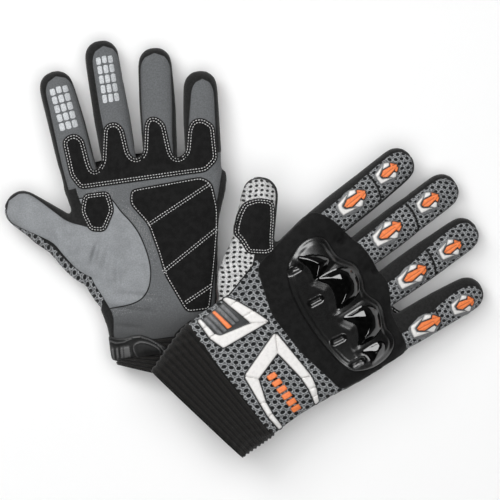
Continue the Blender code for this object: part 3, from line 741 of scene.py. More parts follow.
def skin(glove):
    """The glove's whole fabric body: one remeshed, softened and puffed mesh in the flat frame."""
    points, faces = cage(glove)
    mesh = bpy.data.meshes.new("cage")
    mesh.from_pydata((points * SIM_SCALE).tolist(), [], faces)
    mesh = evaluated(mesh, [("REMESH", {"mode": "VOXEL", "voxel_size": VOXEL * SIM_SCALE}),
                            ("SMOOTH", {"iterations": 6, "factor": 0.5})])
    before = coordinates(mesh)
    soft = evaluated(mesh, [("CLOTH", CLOTH)], frames=CLOTH_FRAMES)
    move = coordinates(soft) - before
    size = np.linalg.norm(move, axis=1)[:, None]
    limit = PUFF_LIMIT * SIM_SCALE
    after = before + move * np.minimum(1, limit / np.maximum(size, 1e-9))
    mesh.vertices.foreach_set("co", after.astype(np.float32).ravel())
    bpy.context.scene.frame_set(1)
    mesh = evaluated(mesh, [("SMOOTH", {"iterations": 2, "factor": 0.5}), ("SUBSURF", {"levels": 1})])
    points = coordinates(mesh) / SIM_SCALE
    corners = np.zeros(len(mesh.loops), np.int32)
    mesh.loops.foreach_get("vertex_index", corners)
    return points, corners.reshape(-1, 4)


def zones(glove, points):
    """How far each point is inside the suede palm, the air mesh, the net and so on, in mm."""
    xy = points[:, :2]
    n = points[:, 2]
    ys = np.linspace(-10, 122, 40)
    low, high = glove.span(ys)
    hand_palm = np.r_[np.c_[low + 4.0 + 3.5 * ramp(ys, 2, 20), ys], np.c_[high - 2.4, ys][::-1]]
    hand_back = np.r_[np.c_[low - 2, ys], np.c_[high - 0.6, ys][::-1]][np.r_[ys, ys[::-1]] < PANEL_MIDDLE]
    thumb = glove.digits["thumb"]
    reach = np.hypot(thumb.x - glove.spec["thumb_heel"][0], thumb.y - glove.spec["thumb_heel"][1])
    palm, back = inside(xy, hand_palm), inside(xy, hand_back)
    for name, digit in glove.digits.items():
        start = -reach if name == "thumb" else -16
        palm = np.maximum(palm, inside(xy, digit.outline(PALM_INSETS[name], start)))
        if name != "thumb":
            back = np.maximum(back, inside(xy, digit.outline(BACK_INSETS[name], -16)))
    palm = np.minimum(palm, -n - 0.5)
    net = np.maximum(inside(xy, glove.fitted(NET_BASE, BACK)),
                     inside(xy, thumb.outline(BACK_INSETS["thumb"], 12)))
    net = np.minimum(net, n + 1)
    across, along = thumb.local(xy[:, 0], xy[:, 1])
    wrap = 9 * ramp(-across, 3, 7) * ramp(along, -reach - 4, -reach + 4)
    outer = inside(xy, thumb.outline((-3, -3, 0, 0, -3), -reach))
    back = np.maximum(np.maximum(back, net), np.where(wrap > 0, outer, -9))
    mesh = np.minimum(np.minimum(back, n - 0.5 + wrap), -palm - 0.4)
    seam = inside(xy, glove.shape(THUMB_SEAM, PALM, 8))
    flex = np.full(len(points), 9.0)
    for name, digit in glove.digits.items():
        if name != "thumb":
            u, v = digit.local(xy[:, 0], xy[:, 1])
            fold = v - digit.bend - 2.6 * (1 - (u / 13) ** 2) + 0.12 * u
            flex = np.where((np.abs(u) < digit.half_width(v) + 3) & (np.abs(fold) < np.abs(flex)), fold, flex)
    return {
        "palm": palm,
        "mesh": mesh,
        "net": net,
        "thumb": np.maximum(seam, inside(xy, thumb.outline((0, 0, 0, 0, 0), -5))),
        "flex": flex,
    }


def lattice(xy, turn, pitch, hole, shifts):
    """Distance from the nearest hole's middle: 1 at the hole's rim."""
    u = xy[:, 0] * cos(turn) + xy[:, 1] * sin(turn)
    v = -xy[:, 0] * sin(turn) + xy[:, 1] * cos(turn)
    u, v = u + SAG * np.sin(v * SAG_WAVE[0]), v + SAG * np.sin(u * SAG_WAVE[1])
    best = np.full(len(xy), 9.0)
    for shift in shifts:
        du = (u / pitch[0] + shift) % 1 - 0.5
        dv = (v / pitch[1] + shift) % 1 - 0.5
        best = np.minimum(best, np.hypot(du * pitch[0] / hole[0], dv * pitch[1] / hole[1]))
    return best


def emboss(glove, points, faces, zone):
    """Sinks the fabric's holes and seams along the surface normal."""
    normals = corner_normals(points, faces)
    xy = points[:, :2]
    in_mesh = ramp(zone["mesh"], 0.3, 1.5)
    in_net = ramp(zone["net"], -0.3, 0.3)
    rim = np.where(xy[:, 1] > FINGERS_FROM, lattice(xy, *FINGER_MESH), lattice(xy, *HAND_MESH))
    holes = 1 - ramp(rim, 0.55, 1.15)
    net = 1 - ramp(lattice(xy, *NET), 0.55, 1.2)
    depth = in_mesh * (0.75 * holes * (1 - in_net) + 0.6 * net * in_net)
    on_palm = ramp(zone["palm"], 0, 1.0)
    seam = np.exp(-(zone["palm"] / 0.7) ** 2) * (points[:, 2] < 0)
    seam = np.maximum(seam, np.exp(-(zone["mesh"] / 0.7) ** 2) * (points[:, 2] > 0))
    seam = np.maximum(seam, np.exp(-(zone["thumb"] / 0.55) ** 2) * on_palm)
    seam = np.maximum(seam, np.exp(-(zone["net"] / 0.8) ** 2) * in_mesh)
    depth = np.maximum(depth, 0.5 * seam)
    roll = np.exp(-((np.abs(zone["flex"]) - 1.9) / 0.9) ** 2)
    depth = depth + (1.3 * np.exp(-(zone["flex"] / 0.8) ** 2) - 0.45 * roll) * in_mesh
    for *crease, deep in CREASES:
        away, t = nearest(xy, *glove.fitted(crease, PALM))
        fade = np.sin(pi * np.clip(t, 0.08, 0.92)) ** 0.7
        groove = np.exp(-(away / 1.7) ** 2) - 0.45 * np.exp(-((away - 4.2) / 2.2) ** 2)
        depth = depth + deep * groove * fade * on_palm
    return points - normals * depth[:, None]


# ---------------------------------------------------------------- materials

class Graph:
    """Short names for building one material's nodes. Lengths in the pattern are millimetres."""

    def __init__(self, name):
        self.material = bpy.data.materials.new(name)
        self.material.use_nodes = True
        self.tree = self.material.node_tree
        self.shader = self.tree.nodes["Principled BSDF"]
        self.flat = self.node("ShaderNodeAttribute", attribute_name="flat").outputs["Vector"]

    def node(self, kind, inputs=(), **settings):
        made = self.tree.nodes.new(kind)
        for key, value in settings.items():
            setattr(made, key, value)
        for key, value in (inputs.items() if isinstance(inputs, dict) else enumerate(inputs)):
            self.put(made, key, value)
        return made

    def put(self, node, key, value):
        """Links a socket to an input, or sets the input's own value."""
        if isinstance(value, bpy.types.NodeSocket):
            self.tree.links.new(value, node.inputs[key])
        else:
            node.inputs[key].default_value = value

    def value(self, name):
        return self.node("ShaderNodeAttribute", attribute_name=name).outputs["Fac"]

    def math(self, operation, *inputs):
        return self.node("ShaderNodeMath", inputs, operation=operation).outputs[0]

    def times(self, a, b):
        return self.math("MULTIPLY", a, b)

    def vector(self, operation, *inputs):
        made = self.node("ShaderNodeVectorMath", inputs, operation=operation)
        return made.outputs["Value" if operation == "LENGTH" else "Vector"]

    def step(self, value, low, high):
        """0 below low, 1 above high and smooth between; falls instead where low is over high."""
        turn = low > high
        inputs = {"Value": value, "From Min": min(low, high), "From Max": max(low, high),
                  "To Min": 1.0 if turn else 0.0, "To Max": 0.0 if turn else 1.0}
        return self.node("ShaderNodeMapRange", inputs, interpolation_type="SMOOTHSTEP").outputs["Result"]

    def line(self, value, half):
        """1 on a line where the value crosses 0, this far to each side of it."""
        return self.step(self.math("ABSOLUTE", value), half * 1.35, half * 0.7)

    def noise(self, scale, detail=2.0, stretch=None):
        vector = self.flat
        if stretch:
            vector = self.vector("MULTIPLY", vector, stretch)
        inputs = {"Vector": vector, "Scale": scale, "Detail": detail}
        return self.node("ShaderNodeTexNoise", inputs).outputs["Fac"]

    def mix(self, factor, a, b):
        return self.node("ShaderNodeMix", {0: factor, 6: a, 7: b}, data_type="RGBA").outputs[2]

    def varied(self, a, b, scale, low=0.35, high=0.65):
        """A colour that drifts between a and b over the surface."""
        return self.mix(self.step(self.noise(scale, 3.0), low, high), a, b)

    def holes(self, turn, pitch, hole, shifts):
        """The same lattice of holes as lattice(): 1 at a hole's rim."""
        turned = self.node("ShaderNodeVectorRotate", {"Vector": self.flat, "Angle": -turn},
                           rotation_type="Z_AXIS").outputs[0]
        parts = self.node("ShaderNodeSeparateXYZ", (turned,)).outputs
        sway = [self.times(self.math("SINE", self.times(parts[k], rate)), SAG)
                for k, rate in ((1, SAG_WAVE[0]), (0, SAG_WAVE[1]))]
        sway = self.node("ShaderNodeCombineXYZ", sway).outputs[0]
        turned = self.vector("ADD", turned, sway)
        best = None
        for shift in shifts:
            scaled = self.vector("MULTIPLY", turned, (1 / pitch[0], 1 / pitch[1], 0))
            cell = self.vector("FRACTION", self.vector("ADD", scaled, (shift, shift, 0)))
            centred = self.vector("SUBTRACT", cell, (0.5, 0.5, 0))
            sized = self.vector("MULTIPLY", centred, (pitch[0] / hole[0], pitch[1] / hole[1], 0))
            length = self.vector("LENGTH", sized)
            best = length if best is None else self.math("MINIMUM", best, length)
        return best

    def finish(self, colour, roughness, height=None, bump_mm=0.2, **constants):
        self.put(self.shader, "Base Color", colour)
        self.put(self.shader, "Roughness", roughness)
        for key, value in constants.items():
            self.shader.inputs[key.replace("_", " ")].default_value = value
        if height is not None:
            bump = self.node("ShaderNodeBump", {"Height": height, "Distance": bump_mm * MM, "Strength": 1.0})
            self.tree.links.new(bump.outputs[0], self.shader.inputs["Normal"])
        return self.material


def grey(level, blue=0.0):
    """An opaque grey of that linear level, a little blue or, below 0, a little warm."""
    return (level * (1 - blue), level, level * (1 + blue), 1.0)


def skin_material():
    """Grey suede on the palm, black side walls, grey air mesh on the back and a paler net."""
    g = Graph("glove_fabric")
    nap = g.noise(1.1, 5.0)
    brushed = g.noise(0.10, 2.0)
    grain = g.noise(3.6, 2.0)
    fleck = g.step(nap, 0.3, 0.75)
    suede = g.mix(fleck, grey(0.105, 0.045), grey(0.155, 0.04))
    thumb_suede = g.mix(fleck, grey(0.245, 0.045), grey(0.320, 0.04))
    inner = g.value("thumb")
    suede = g.mix(g.step(inner, -0.15, 0.15), suede, thumb_suede)
    dots = g.node("ShaderNodeTexVoronoi", {"Vector": g.flat, "Scale": 0.95, "Randomness": 0.35}).outputs[0]
    band = g.times(g.step(inner, -6.4, -5.4), g.step(inner, -0.6, -1.3))
    dotted = g.times(band, g.step(dots, 0.32, 0.2))
    suede = g.mix(g.times(dotted, 0.7), suede, grey(0.36))
    suede = g.mix(g.times(g.step(brushed, 0.35, 0.7), 0.22), suede, grey(0.12, 0.03))
    y = g.node("ShaderNodeSeparateXYZ", (g.flat,)).outputs["Y"]
    # Painted shade: the palm suede is darkened towards the wrist, below y = 30 of the flat frame.
    suede = g.mix(g.times(g.step(y, 30, 2), 0.7), suede, grey(0.05, 0.01))
    wall = g.varied(grey(0.007), grey(0.0125), 0.6)

    on_fingers = g.step(y, FINGERS_FROM - 0.5, FINGERS_FROM + 0.5)
    coarse = g.holes(*HAND_MESH)
    fine = g.holes(*FINGER_MESH)
    rim = g.math("ADD", coarse, g.times(on_fingers, g.math("SUBTRACT", fine, coarse)))
    knit = g.noise(0.75, 4.0, (1.0, 1.5, 1.0))
    # Partly painted highlight: the thread close round each hole is paler, as if lit where it rises at the
    # hole's rim, in patches that the knit noise sets as random tone.
    strand = g.times(g.step(rim, 1.62, 1.28), g.step(knit, 0.28, 0.60))
    thread = g.mix(strand, grey(0.070, 0.04), grey(0.38, 0.03))
    mesh = g.mix(g.step(rim, 0.84, 1.06), grey(0.010, 0.08), thread)
    net_rim = g.holes(*NET)
    net_thread = g.mix(g.step(knit, 0.3, 0.7), grey(0.34, 0.0), grey(0.72, 0.0))
    net = g.mix(g.step(net_rim, 0.85, 1.25), grey(0.02), net_thread)
    mesh = g.mix(g.step(g.value("net"), -0.2, 0.2), mesh, net)

    on_palm = g.step(g.value("palm"), -0.2, 0.2)
    on_mesh = g.step(g.value("mesh"), -0.2, 0.2)
    colour = g.mix(on_mesh, g.mix(on_palm, wall, suede), mesh)
    seam = g.times(g.line(inner, 0.42), on_palm)
    seam = g.math("MAXIMUM", seam, g.times(g.line(g.value("flex"), 0.75), on_mesh))
    seam = g.math("MAXIMUM", seam, g.times(g.line(g.value("net"), 0.5), on_mesh))
    colour = g.mix(seam, colour, grey(0.008))
    height = g.math("ADD", g.times(grain, 0.5),
                    g.times(on_mesh, g.math("ADD", knit, g.step(rim, 0.7, 1.1))))
    return g.finish(colour, 0.93, height, 0.28, Sheen_Weight=0.12, Sheen_Roughness=0.5,
                    Specular_IOR_Level=0.25)


def suede_material():
    g = Graph("black_suede")
    nap = g.noise(1.6, 4.0)
    colour = g.varied(grey(0.0042), grey(0.0078), 0.25)
    colour = g.mix(g.times(g.step(nap, 0.45, 0.85), 0.5), colour, grey(0.016))
    edge = g.step(g.value("depth"), 0.9, 0.0)
    colour = g.mix(g.times(edge, 0.35), colour, grey(0.03))
    return g.finish(colour, 0.95, nap, 0.22, Sheen_Weight=0.12, Sheen_Roughness=0.4,
                    Specular_IOR_Level=0.2)


def thread_material():
    g = Graph("sewing_thread")
    strand = g.noise(3.0, 2.0)
    return g.finish(g.varied(grey(0.42), grey(0.72), 1.4), 0.7, strand, 0.1, Sheen_Weight=0.1)


def knit_material():
    """Black elastic rib: fine wales along the arm over the raised ribs, with painted highlights on their
    crests and painted shade in the hollows between them.
    """
    g = Graph("rib_knit")
    wave = {"Vector": g.flat, "Scale": 0.55, "Distortion": 0.7, "Detail": 1.0, "Detail Scale": 2.0}
    wales = g.node("ShaderNodeTexWave", wave, bands_direction="X").outputs["Fac"]
    fluff = g.noise(1.8, 3.0)
    # Painted light: the colour is lighter on each rib's crest and darker in the hollows between the ribs.
    high = g.step(g.value("crest"), 0.25, 0.95)
    colour = g.mix(high, (0.0016, 0.0014, 0.0012, 1), (0.0082, 0.0072, 0.0062, 1))
    colour = g.mix(g.times(g.step(fluff, 0.5, 0.8), 0.35), colour, (0.024, 0.021, 0.018, 1))
    height = g.math("ADD", g.times(wales, 0.7), fluff)
    return g.finish(colour, 0.93, height, 0.22, Sheen_Weight=0.2, Sheen_Roughness=0.5,
                    Specular_IOR_Level=0.25)


def guard_material():
    """Black moulded plastic: polished on the domes, satin on the plate round them."""
    g = Graph("guard_plastic")
    satin = g.math("SUBTRACT", 1.0, g.step(g.value("gloss"), 0.1, 0.5))
    fine = g.noise(5.0, 3.0)
    roughness = g.math("ADD", 0.06, g.times(satin, g.math("ADD", 0.16, g.times(fine, 0.12))))
    colour = g.mix(satin, g.varied(grey(0.0015), grey(0.003), 0.4), g.varied(grey(0.004), grey(0.007), 0.4))
    return g.finish(colour, roughness, g.times(fine, satin), 0.012, Specular_IOR_Level=1.0)


def rubber_material(name, light, dark, roughness=0.42, edge=0.75, bump=0.03):
    """Moulded rubber with slight mottling, and painted shade that darkens it along its edge and in its cut
    grooves.
    """
    g = Graph(name)
    colour = g.varied(dark, light, 0.5, low=0.3, high=0.6)
    # Painted shade: towards the edge and in the grooves, the colour darkens to a quarter of the light tone,
    # by the share that edge gives.
    shade = [c * 0.25 for c in light[:3]] + [1.0]
    rim = g.times(g.step(g.value("depth"), 0.6, 0.15), edge)
    colour = g.mix(rim, colour, shade)
    fine = g.noise(4.0, 3.0)
    return g.finish(colour, g.math("ADD", roughness, g.times(fine, 0.15)), fine, bump)


def print_material():
    g = Graph("silver_print")
    worn = g.step(g.noise(1.3, 4.0), 0.35, 0.6)
    colour = g.mix(worn, grey(0.36, 0.04), grey(0.54, 0.03))
    return g.finish(colour, 0.5, g.noise(3.0, 2.0), 0.08, Metallic=0.15)


def strap_material():
    g = Graph("strap_rubber")
    fine = g.noise(3.5, 3.0)
    # Partly wear and partly painted highlight: the raised line, rims, edges and ribs are coloured paler.
    worn = g.step(g.value("crest"), 0.3, 0.9)
    colour = g.mix(worn, g.varied(grey(0.006), grey(0.010), 0.5), grey(0.085))
    return g.finish(colour, g.math("ADD", 0.42, g.times(fine, 0.2)), fine, 0.05)


def floor_material():
    g = Graph("pale_floor")
    spot = g.node("ShaderNodeTexNoise", {"Scale": 6.0, "Detail": 3.0}).outputs["Fac"]
    return g.finish(g.mix(spot, grey(0.88), grey(0.90)), 0.8)


FINISH = {
    "skin": skin_material(),
    "suede": suede_material(),
    "thread": thread_material(),
    "knit": knit_material(),
    "guard": guard_material(),
    # edge is how strongly each rubber's painted shade darkens its edges and grooves.
    "white": rubber_material("white_rubber", grey(0.78, -0.02), grey(0.72, -0.02), roughness=0.33, edge=0.4),
    "orange": rubber_material("orange_rubber", (0.90, 0.235, 0.06, 1), (0.82, 0.18, 0.04, 1), edge=0.6),
    "border": rubber_material("dark_rubber", grey(0.030, 0.05), grey(0.018, 0.05), edge=0.1),
    "rib": rubber_material("grey_rubber", grey(0.17, 0.03), grey(0.10, 0.03), edge=0.2),
    "print": print_material(),
    "strap": strap_material(),
}


# ---------------------------------------------------------------- the pieces

def add_skin(glove):
    points, faces = skin(glove)
    faces = faces[points[faces, 1].mean(1) > -1.2]
    survey(glove, points, faces)
    zone = zones(glove, points)
    points = emboss(glove, points, faces, zone)
    made = deal_out("fabric", glove, points, faces, FINISH["skin"], zone)
    for region, piece in made.items():
        if region == 0:
            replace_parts(piece, f"{glove.side}_hand_shell")
        else:
            digit, upper = part_of(glove, region)
            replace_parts(piece, f"{glove.side}_{digit.name}_{'distal' if upper else 'proximal'}")


def add_cuff(glove):
    """A ribbed tube with a slanted, rolled mouth, open at both ends and tucked under the skin."""
    mouth, skew = glove.spec["mouth"]
    sides, rows, ribs = 180, 96, 9
    profile = [(t, 0.0) for t in np.linspace(1, 0, rows)]
    profile += [(-0.012, -0.35), (-0.016, -0.9), (-0.01, -1.4)]
    profile += [(t, -1.7) for t in np.linspace(0, 1, 14)]
    points, crest = [], []
    for t, inward in profile:
        outside = inward == 0.0
        wave = 0.5 + 0.5 * np.cos(2 * pi * (t * ribs + 0.5))
        hem = 0.5 * (1 - ramp(t, 0.0, 0.07))
        v_mid = mouth * (1 - t) + 2.0 * t
        low, high = glove.span(v_mid)
        grow = (0.9 * wave - 0.9 + hem if outside else inward + hem) - 0.9 * ramp(t, 0.9, 1.0)
        u, n = oval(low, high, read(HALF_THICKNESS, v_mid), sides)
        scale_u, scale_n = 1 + grow / ((high - low) / 2), 1 + grow / read(HALF_THICKNESS, v_mid)
        mid = (low + high) / 2
        u, n = mid + (u - mid) * scale_u, n * scale_n
        gather = 0.25 * np.sin(u * 0.9 + 3 * np.sin(t * 5)) * np.sign(n) * outside
        points.append(np.stack([u, v_mid + skew * (1 - t) * u, n + gather], 1))
        # The crest value sets the knit's painted highlight on each rib's top; the inside gets a fixed value.
        crest.append(np.full(sides, wave if outside else 0.3))
    cells, faces = tube(points, 0)
    piece = make(f"{glove.side}_cuff_knit", glove, cells, faces[:-2], FINISH["knit"],
                 {"crest": np.concatenate(crest)})
    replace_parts(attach(piece, f"{glove.side}_glove"), f"{glove.side}_cuff")


def add_panel(glove, node, shape, face, thickness):
    points, faces, depth = patch(glove, shape, face, thickness)
    return deal_out(node, glove, points, faces, FINISH["suede"], {"depth": depth})


def add_thread(glove, node, paths, face, lift):
    thread, loops = stitches(glove, paths, face, lift)
    deal_out(f"{node}_thread", glove, thread, loops, FINISH["thread"], hard=True)


def add_patch(glove, node, outline, rows, radius=4.0, face=PALM, thickness=0.9):
    """A suede patch with stitching: each row is a depth inside the edge, or a line across the patch."""
    shape = glove.shape(outline, face, radius)
    made = add_panel(glove, node, shape, face, thickness)
    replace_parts(made[min(made)], f"{glove.side}_{node}")
    paths = [(inset(shape, row), True) if np.isscalar(row) else (glove.fitted(row, face), False)
             for row in rows]
    add_thread(glove, node, paths, face, thickness - 0.12)


def double(line, apart=0.9):
    """Two parallel lines, apart to each side of one."""
    a, b = np.array(line, float)
    d = (b - a) / np.linalg.norm(b - a)
    side = np.array([-d[1], d[0]]) * apart
    return [np.array([a + side, b + side]), np.array([a - side, b - side])]


def add_palm(glove):
    add_patch(glove, "palm_patch", PALM_PATCH, (1.3, 3.1), radius=3.5)
    heel = [1.4] + [row for line in HEEL_ROWS for row in double(line)]
    add_patch(glove, "heel_patch", HEEL_PATCH, heel)
    add_patch(glove, "thumb_crotch_patch", CROTCH_PATCH, (1.3, 3.0))
    for name, middle, (across, along) in PRINTS:
        digit = glove.digits[name]
        tiles, faces = [], []
        wide, tall = across / PRINT_COLUMNS, along / PRINT_ROWS
        for i in range(PRINT_COLUMNS):
            for j in range(PRINT_ROWS):
                u = (i - (PRINT_COLUMNS - 1) / 2) * wide + PRINT_SHIFT
                v = middle + (j - (PRINT_ROWS - 1) / 2) * tall
                last = j == PRINT_ROWS - 1
                half_u, half_v = (wide - PRINT_GAP) / 2, (tall * (0.9 if last else 1.0) - PRINT_GAP) / 2
                drop = 0.5 * abs(i - 1) * last
                corners = [(u + a * half_u, v + b * half_v - drop) for a, b in CORNERS]
                shape = soften([digit.hand(*c) for c in corners], 0.5, 2)
                more, cells, _ = patch(glove, shape, PALM, 0.16, step=1.4, radius=0.3, sink=0.2)
                start = sum(len(t) for t in tiles)
                tiles.append(more)
                faces += [tuple(k + start for k in f) for f in cells]
        deal_out("grip_print", glove, np.vstack(tiles), faces, FINISH["print"])


def add_hard(glove, name, outline, finish, thickness, body=None, node=None, **options):
    """One moulded piece on the back that rides a body."""
    points, faces, depth = patch(glove, outline, BACK, thickness, smooth=True, **options)
    # The depth falls to 0 along a relief's cut lines, so that the rubber finish's painted shade darkens the
    # grooves too.
    for line in getattr(options.get("relief"), "lines", ()):
        depth = np.minimum(depth, beside(points[:, :2], line))
    piece = make(f"{glove.side}_{name}", glove, points, faces, FINISH[finish], {"depth": depth})
    piece.data.set_sharp_from_angle(angle=radians(50))
    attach(piece, f"{glove.side}_{body or 'glove'}")
    if node:
        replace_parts(piece, f"{glove.side}_{node}")
    return piece


def add_guard(glove):
    """The knuckle guard: a satin plate with polished domes and recessed vents."""
    shape = glove.shape(GUARD, BACK, 5)
    domes = [soften(glove.shape(dome, BACK, 3.0), 2.0, 2) for dome in DOMES]
    vents = glove.fitted([v[:2] for v in VENTS], BACK)
    parts = {}

    def relief(xy, depth):
        rise = np.zeros(len(xy))
        gloss = np.zeros(len(xy))
        for dome in domes:
            within = inside(xy, dome)
            round_up = 1 - (1 - np.clip(within / DOME_ROUND, 0, 1)) ** DOME_POWER
            rise = np.maximum(rise, 1.5 * ramp(within, -6.0, 0.0) + DOME_RISE * round_up)
            gloss = np.maximum(gloss, ramp(within, -0.35, 0.25))
        for (cx, cy), (_, _, turn) in zip(vents, VENTS):
            a = radians(turn)
            dx, dy = xy[:, 0] - cx, xy[:, 1] - cy
            u, v = dx * cos(a) + dy * sin(a), -dx * sin(a) + dy * cos(a)
            slot = np.hypot(np.maximum(np.abs(u) - (VENT_HALF[0] - VENT_HALF[1]), 0), v) / VENT_HALF[1]
            rise = rise - 2.3 * (1 - ramp(slot, 0.3, 1.35))
            gloss = np.maximum(gloss, 0.4 * ramp(u, 2.5, 4.5) * np.exp(-((slot - 1.1) / 0.4) ** 2))
        rise = rise + 0.9 * ramp(depth, 2.6, 5.2)
        parts["gloss"] = gloss
        return rise

    points, faces, _ = patch(glove, shape, BACK, 1.7, step=0.9, radius=1.3, lift=0.9, smooth=True,
                             relief=relief, sink=1.2)
    if glove.up < 0:
        floor = glove.place(points)[:, 2] / MM
        points[:, 2] += np.minimum(floor, 0)
    gloss = np.pad(parts["gloss"], (0, len(points) - len(parts["gloss"])))
    piece = make(f"{glove.side}_guard_shell", glove, points, faces, FINISH["guard"], {"gloss": gloss})
    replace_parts(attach(piece, f"{glove.side}_glove"), f"{glove.side}_knuckle_guard")


def cuts(lines, width=0.75, depth=1.2):
    """A relief that cuts grooves along lines."""
    def relief(xy, _):
        distance = np.min([beside(xy, line) for line in lines], axis=0)
        return -depth * (1 - ramp(distance, width * 0.4, width))
    relief.lines = lines
    return relief


def add_chevron(glove, border, name, outline, lines, node):
    """A white badge with grooves along lines, on a dark border."""
    shape = glove.shape(outline, BACK, 1.1)
    add_hard(glove, border, grown(shape, 0.9), "border", 0.5)
    add_hard(glove, name, shape, "white", 1.7, node=node, step=1.0,
             relief=cuts([glove.fitted(line, BACK) for line in lines]))


def add_back(glove):
    shape = glove.shape(KNUCKLE_PANEL, BACK, 5)
    made = add_panel(glove, "knuckle_panel", shape, BACK, 0.8)
    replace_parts(made[0], f"{glove.side}_knuckle_panel")
    add_guard(glove)

    add_chevron(glove, "rib_badge_border", "rib_badge_bracket", BRACKET, BRACKET_CUTS, "rib_badge")
    add_hard(glove, "rib_badge_base", glove.shape(RIB_BASE, BACK, 2), "border", 0.35)
    for k, y in enumerate(RIB_ROWS):
        wide, finish = (0.7, "orange") if k == 2 else (0.0, "rib")
        rib = [(-44.5, y - 2.9), (-29, y - 1.3 - wide), (-28.4, y + 1.1 + wide), (-44.5, y - 0.5)]
        add_hard(glove, f"rib_{k + 1}", glove.shape(rib, BACK, 0.8), finish, 1.0, lift=0.4, step=0.9,
                 radius=1.0)

    add_chevron(glove, "arrow_border", "arrow_white", ARROW, ARROW_CUTS, "arrow_badge")
    left, right, foot, head = NAME_BAR
    for k in range(NAME_BLOCKS):
        x = left + (right - left) * k / NAME_BLOCKS
        block = [(x + 0.3, foot), (x + 4.6, foot), (x + 5.4, head), (x + 1.1, head)]
        add_hard(glove, f"name_bar_{k + 1}", glove.shape(block, BACK, 0.8), "orange", 1.3, step=1.0,
                 node=None if k else "name_bar")


def add_digit_badges(glove):
    """On each finger two grey badges, each with white shards and an orange leaf in a dark outline."""
    for name in FINGERS:
        digit = glove.digits[name]
        across, *alongs = BADGE_SPOTS[name]
        for place, part, middle in zip(("lower", "upper"), ("proximal", "distal"), alongs):
            wide, tall = (1.0, 1.0) if place == "lower" else UPPER_SCALE

            def drawn(outline):
                return np.array([digit.hand(across + u * wide, middle + v * tall) for u, v in outline])

            tag = f"{name}_{place}_badge"

            def add(label, outline, finish, thickness, step, **options):
                add_hard(glove, f"{tag}_{label}", outline, finish, thickness, f"{name}_{part}", step=step,
                         **options)

            add("base", grown(soften(drawn(BADGE), 1.0), 0.8), "rib", 0.7, 1.1, node=tag)
            for k, white in enumerate(BADGE_WHITES):
                add(f"white_{k + 1}", soften(drawn(white), 0.15, 1), "white", 1.5, 0.9, radius=0.6)
            leaf = soften(drawn(LEAF), 0.15, 1)
            add("bed", grown(leaf, 0.55), "border", 1.2, 1.1, radius=0.3)
            add("leaf", leaf, "orange", 1.9, 0.8, radius=0.7,
                relief=cuts([drawn(ridge) for ridge in LEAF_RIDGES], 0.4, 0.5))


def add_thumb_panel(glove):
    thumb = glove.digits["thumb"]
    shape = soften([thumb.hand(u, v) for u, v in THUMB_PANEL], 3)
    made = add_panel(glove, "thumb_panel", shape, BACK, 0.8)
    lower = 1 + 2 * list(glove.digits).index("thumb")
    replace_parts(made[lower], f"{glove.side}_thumb_panel")
    add_thread(glove, "thumb_panel", [(inset(shape, depth), True) for depth in (1.3, 3.0)], BACK, 0.7)


def add_strap(glove):
    """The moulded closing tab, with a raised wavy line, flex ribs and a plain oval boss."""
    shape = glove.shape(STRAP, PALM, 2)
    wave = glove.fitted(STRAP_WAVE, PALM)
    oval_line = glove.shape(STRAP_OVAL, PALM, 2.5)
    edges = [glove.fitted(line, PALM) for line in STRAP_EDGES]
    bars_at = glove.fitted([(x, STRAP_RIBS_Y) for x, _ in STRAP_RIBS], PALM)
    found = {}

    def relief(xy, depth):
        rise = 0.6 * np.exp(-((depth - 0.9) / 0.5) ** 2)
        rise = np.maximum(rise, STRAP_RAISED * np.exp(-(beside(xy, wave) / 0.5) ** 2))
        rise = np.maximum(rise, 0.8 * np.exp(-(np.abs(inside(xy, oval_line)) / 0.5) ** 2))
        for line in edges:
            rise = np.maximum(rise, 1.1 * np.exp(-(beside(xy, line) / 0.55) ** 2))
        for (x, y), (_, half) in zip(bars_at, STRAP_RIBS):
            bar = ramp(half + 0.3 - np.abs(xy[:, 0] - x), 0, 0.6)
            bar = bar * ramp(STRAP_RIBS_REACH - np.abs(xy[:, 1] - y), 0, 0.8)
            rise = np.maximum(rise, 0.75 * bar)
        # crest carries the paler tone of the raised parts to the finish: partly wear, partly painted
        # highlight.
        found["crest"] = rise / STRAP_RAISED
        boss = np.clip(inside(xy, oval_line) / 4, 0, 1)
        return rise + 0.8 * np.sqrt(1 - (1 - boss) ** 2)

    points, faces, _ = patch(glove, shape, PALM, 1.8, step=0.8, radius=1.2, smooth=True, relief=relief,
                             sink=-0.4, closed=True)
    crest = np.pad(found["crest"], (0, len(points) - len(found["crest"])))
    piece = make(f"{glove.side}_strap_moulding", glove, points, faces, FINISH["strap"], {"crest": crest})
    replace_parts(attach(piece, f"{glove.side}_strap"), f"{glove.side}_strap_tab")


def add_glove(side):
    glove = Glove(side)
    add_skin(glove)
    add_cuff(glove)
    add_palm(glove)
    add_back(glove)
    add_digit_badges(glove)
    add_thumb_panel(glove)
    add_strap(glove)


# ---------------------------------------------------------------- the studio

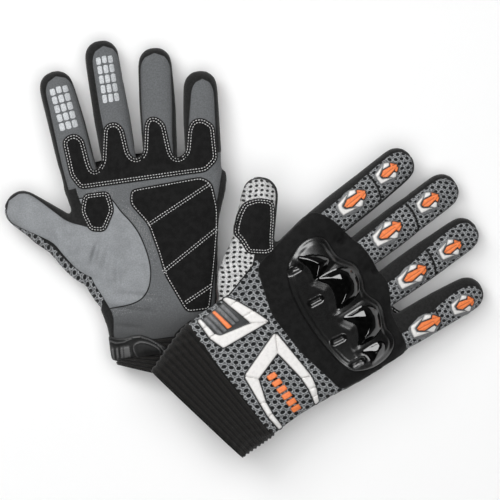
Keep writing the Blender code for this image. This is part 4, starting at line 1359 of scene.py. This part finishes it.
# Soft boxes that look at the gloves: place and size in metres, power in watts, and whether each one
# lights the surfaces or is only seen as a highlight.
LIGHTS = [("overhead", (0, 0, 1.8), (2.6, 2.6), 48, True),
          ("key", (-0.85, 0.85, 1.25), (0.9, 0.9), 10, True),
          ("shine", (-0.5, 1.0, 1.1), (1.5, 1.1), 30, False),
          ("glint", (0.45, -0.95, 1.15), (0.35, 0.6), 4.5, False)]


FRAME_WIDTH, CAMERA_HEIGHT = 0.350, 4.0
CAMERA_OVER = (0.0040, -0.0017)


def studio():
    scene = bpy.context.scene
    scene.view_settings.view_transform = "Standard"
    half, z = 6.0, -0.0005
    mesh = bpy.data.meshes.new("floor")
    corners = [(half * x, half * y, z) for x, y in CORNERS]
    mesh.from_pydata(corners, [], [(0, 1, 2, 3)])
    mesh.materials.append(floor_material())
    floor = bpy.data.objects.new("floor", mesh)
    scene.collection.objects.link(floor)

    world = bpy.data.worlds.new("studio")
    world.use_nodes = True
    nodes, links = world.node_tree.nodes, world.node_tree.links
    split = nodes.new("ShaderNodeSeparateXYZ")
    links.new(nodes.new("ShaderNodeTexCoord").outputs["Generated"], split.inputs[0])
    glow = nodes.new("ShaderNodeMapRange")
    glow.interpolation_type = "SMOOTHSTEP"
    for key, value in (("From Min", 0.45), ("From Max", 0.10), ("To Min", 0.06), ("To Max", 1.0)):
        glow.inputs[key].default_value = value
    links.new(split.outputs["Z"], glow.inputs["Value"])
    links.new(glow.outputs["Result"], nodes["Background"].inputs["Strength"])
    scene.world = world
    for name, at, box, power, lights in LIGHTS:
        lamp = bpy.data.lights.new(name, "AREA")
        lamp.shape = "RECTANGLE"
        lamp.size, lamp.size_y = box
        lamp.energy = power
        made = bpy.data.objects.new(name, lamp)
        scene.collection.objects.link(made)
        made.location = at
        made.rotation_euler = (-Vector(at)).to_track_quat("-Z", "Y").to_euler()
        made.visible_camera, made.visible_diffuse, made.visible_glossy = False, lights, not lights

    lens = bpy.data.cameras.new("camera")
    lens.sensor_width = 36
    lens.lens = lens.sensor_width * CAMERA_HEIGHT / FRAME_WIDTH
    camera = bpy.data.objects.new("camera", lens)
    scene.collection.objects.link(camera)
    camera.location = (*CAMERA_OVER, CAMERA_HEIGHT)
    scene.camera = camera


def main():
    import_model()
    for side in GLOVES:
        add_glove(side)
    studio()


main()
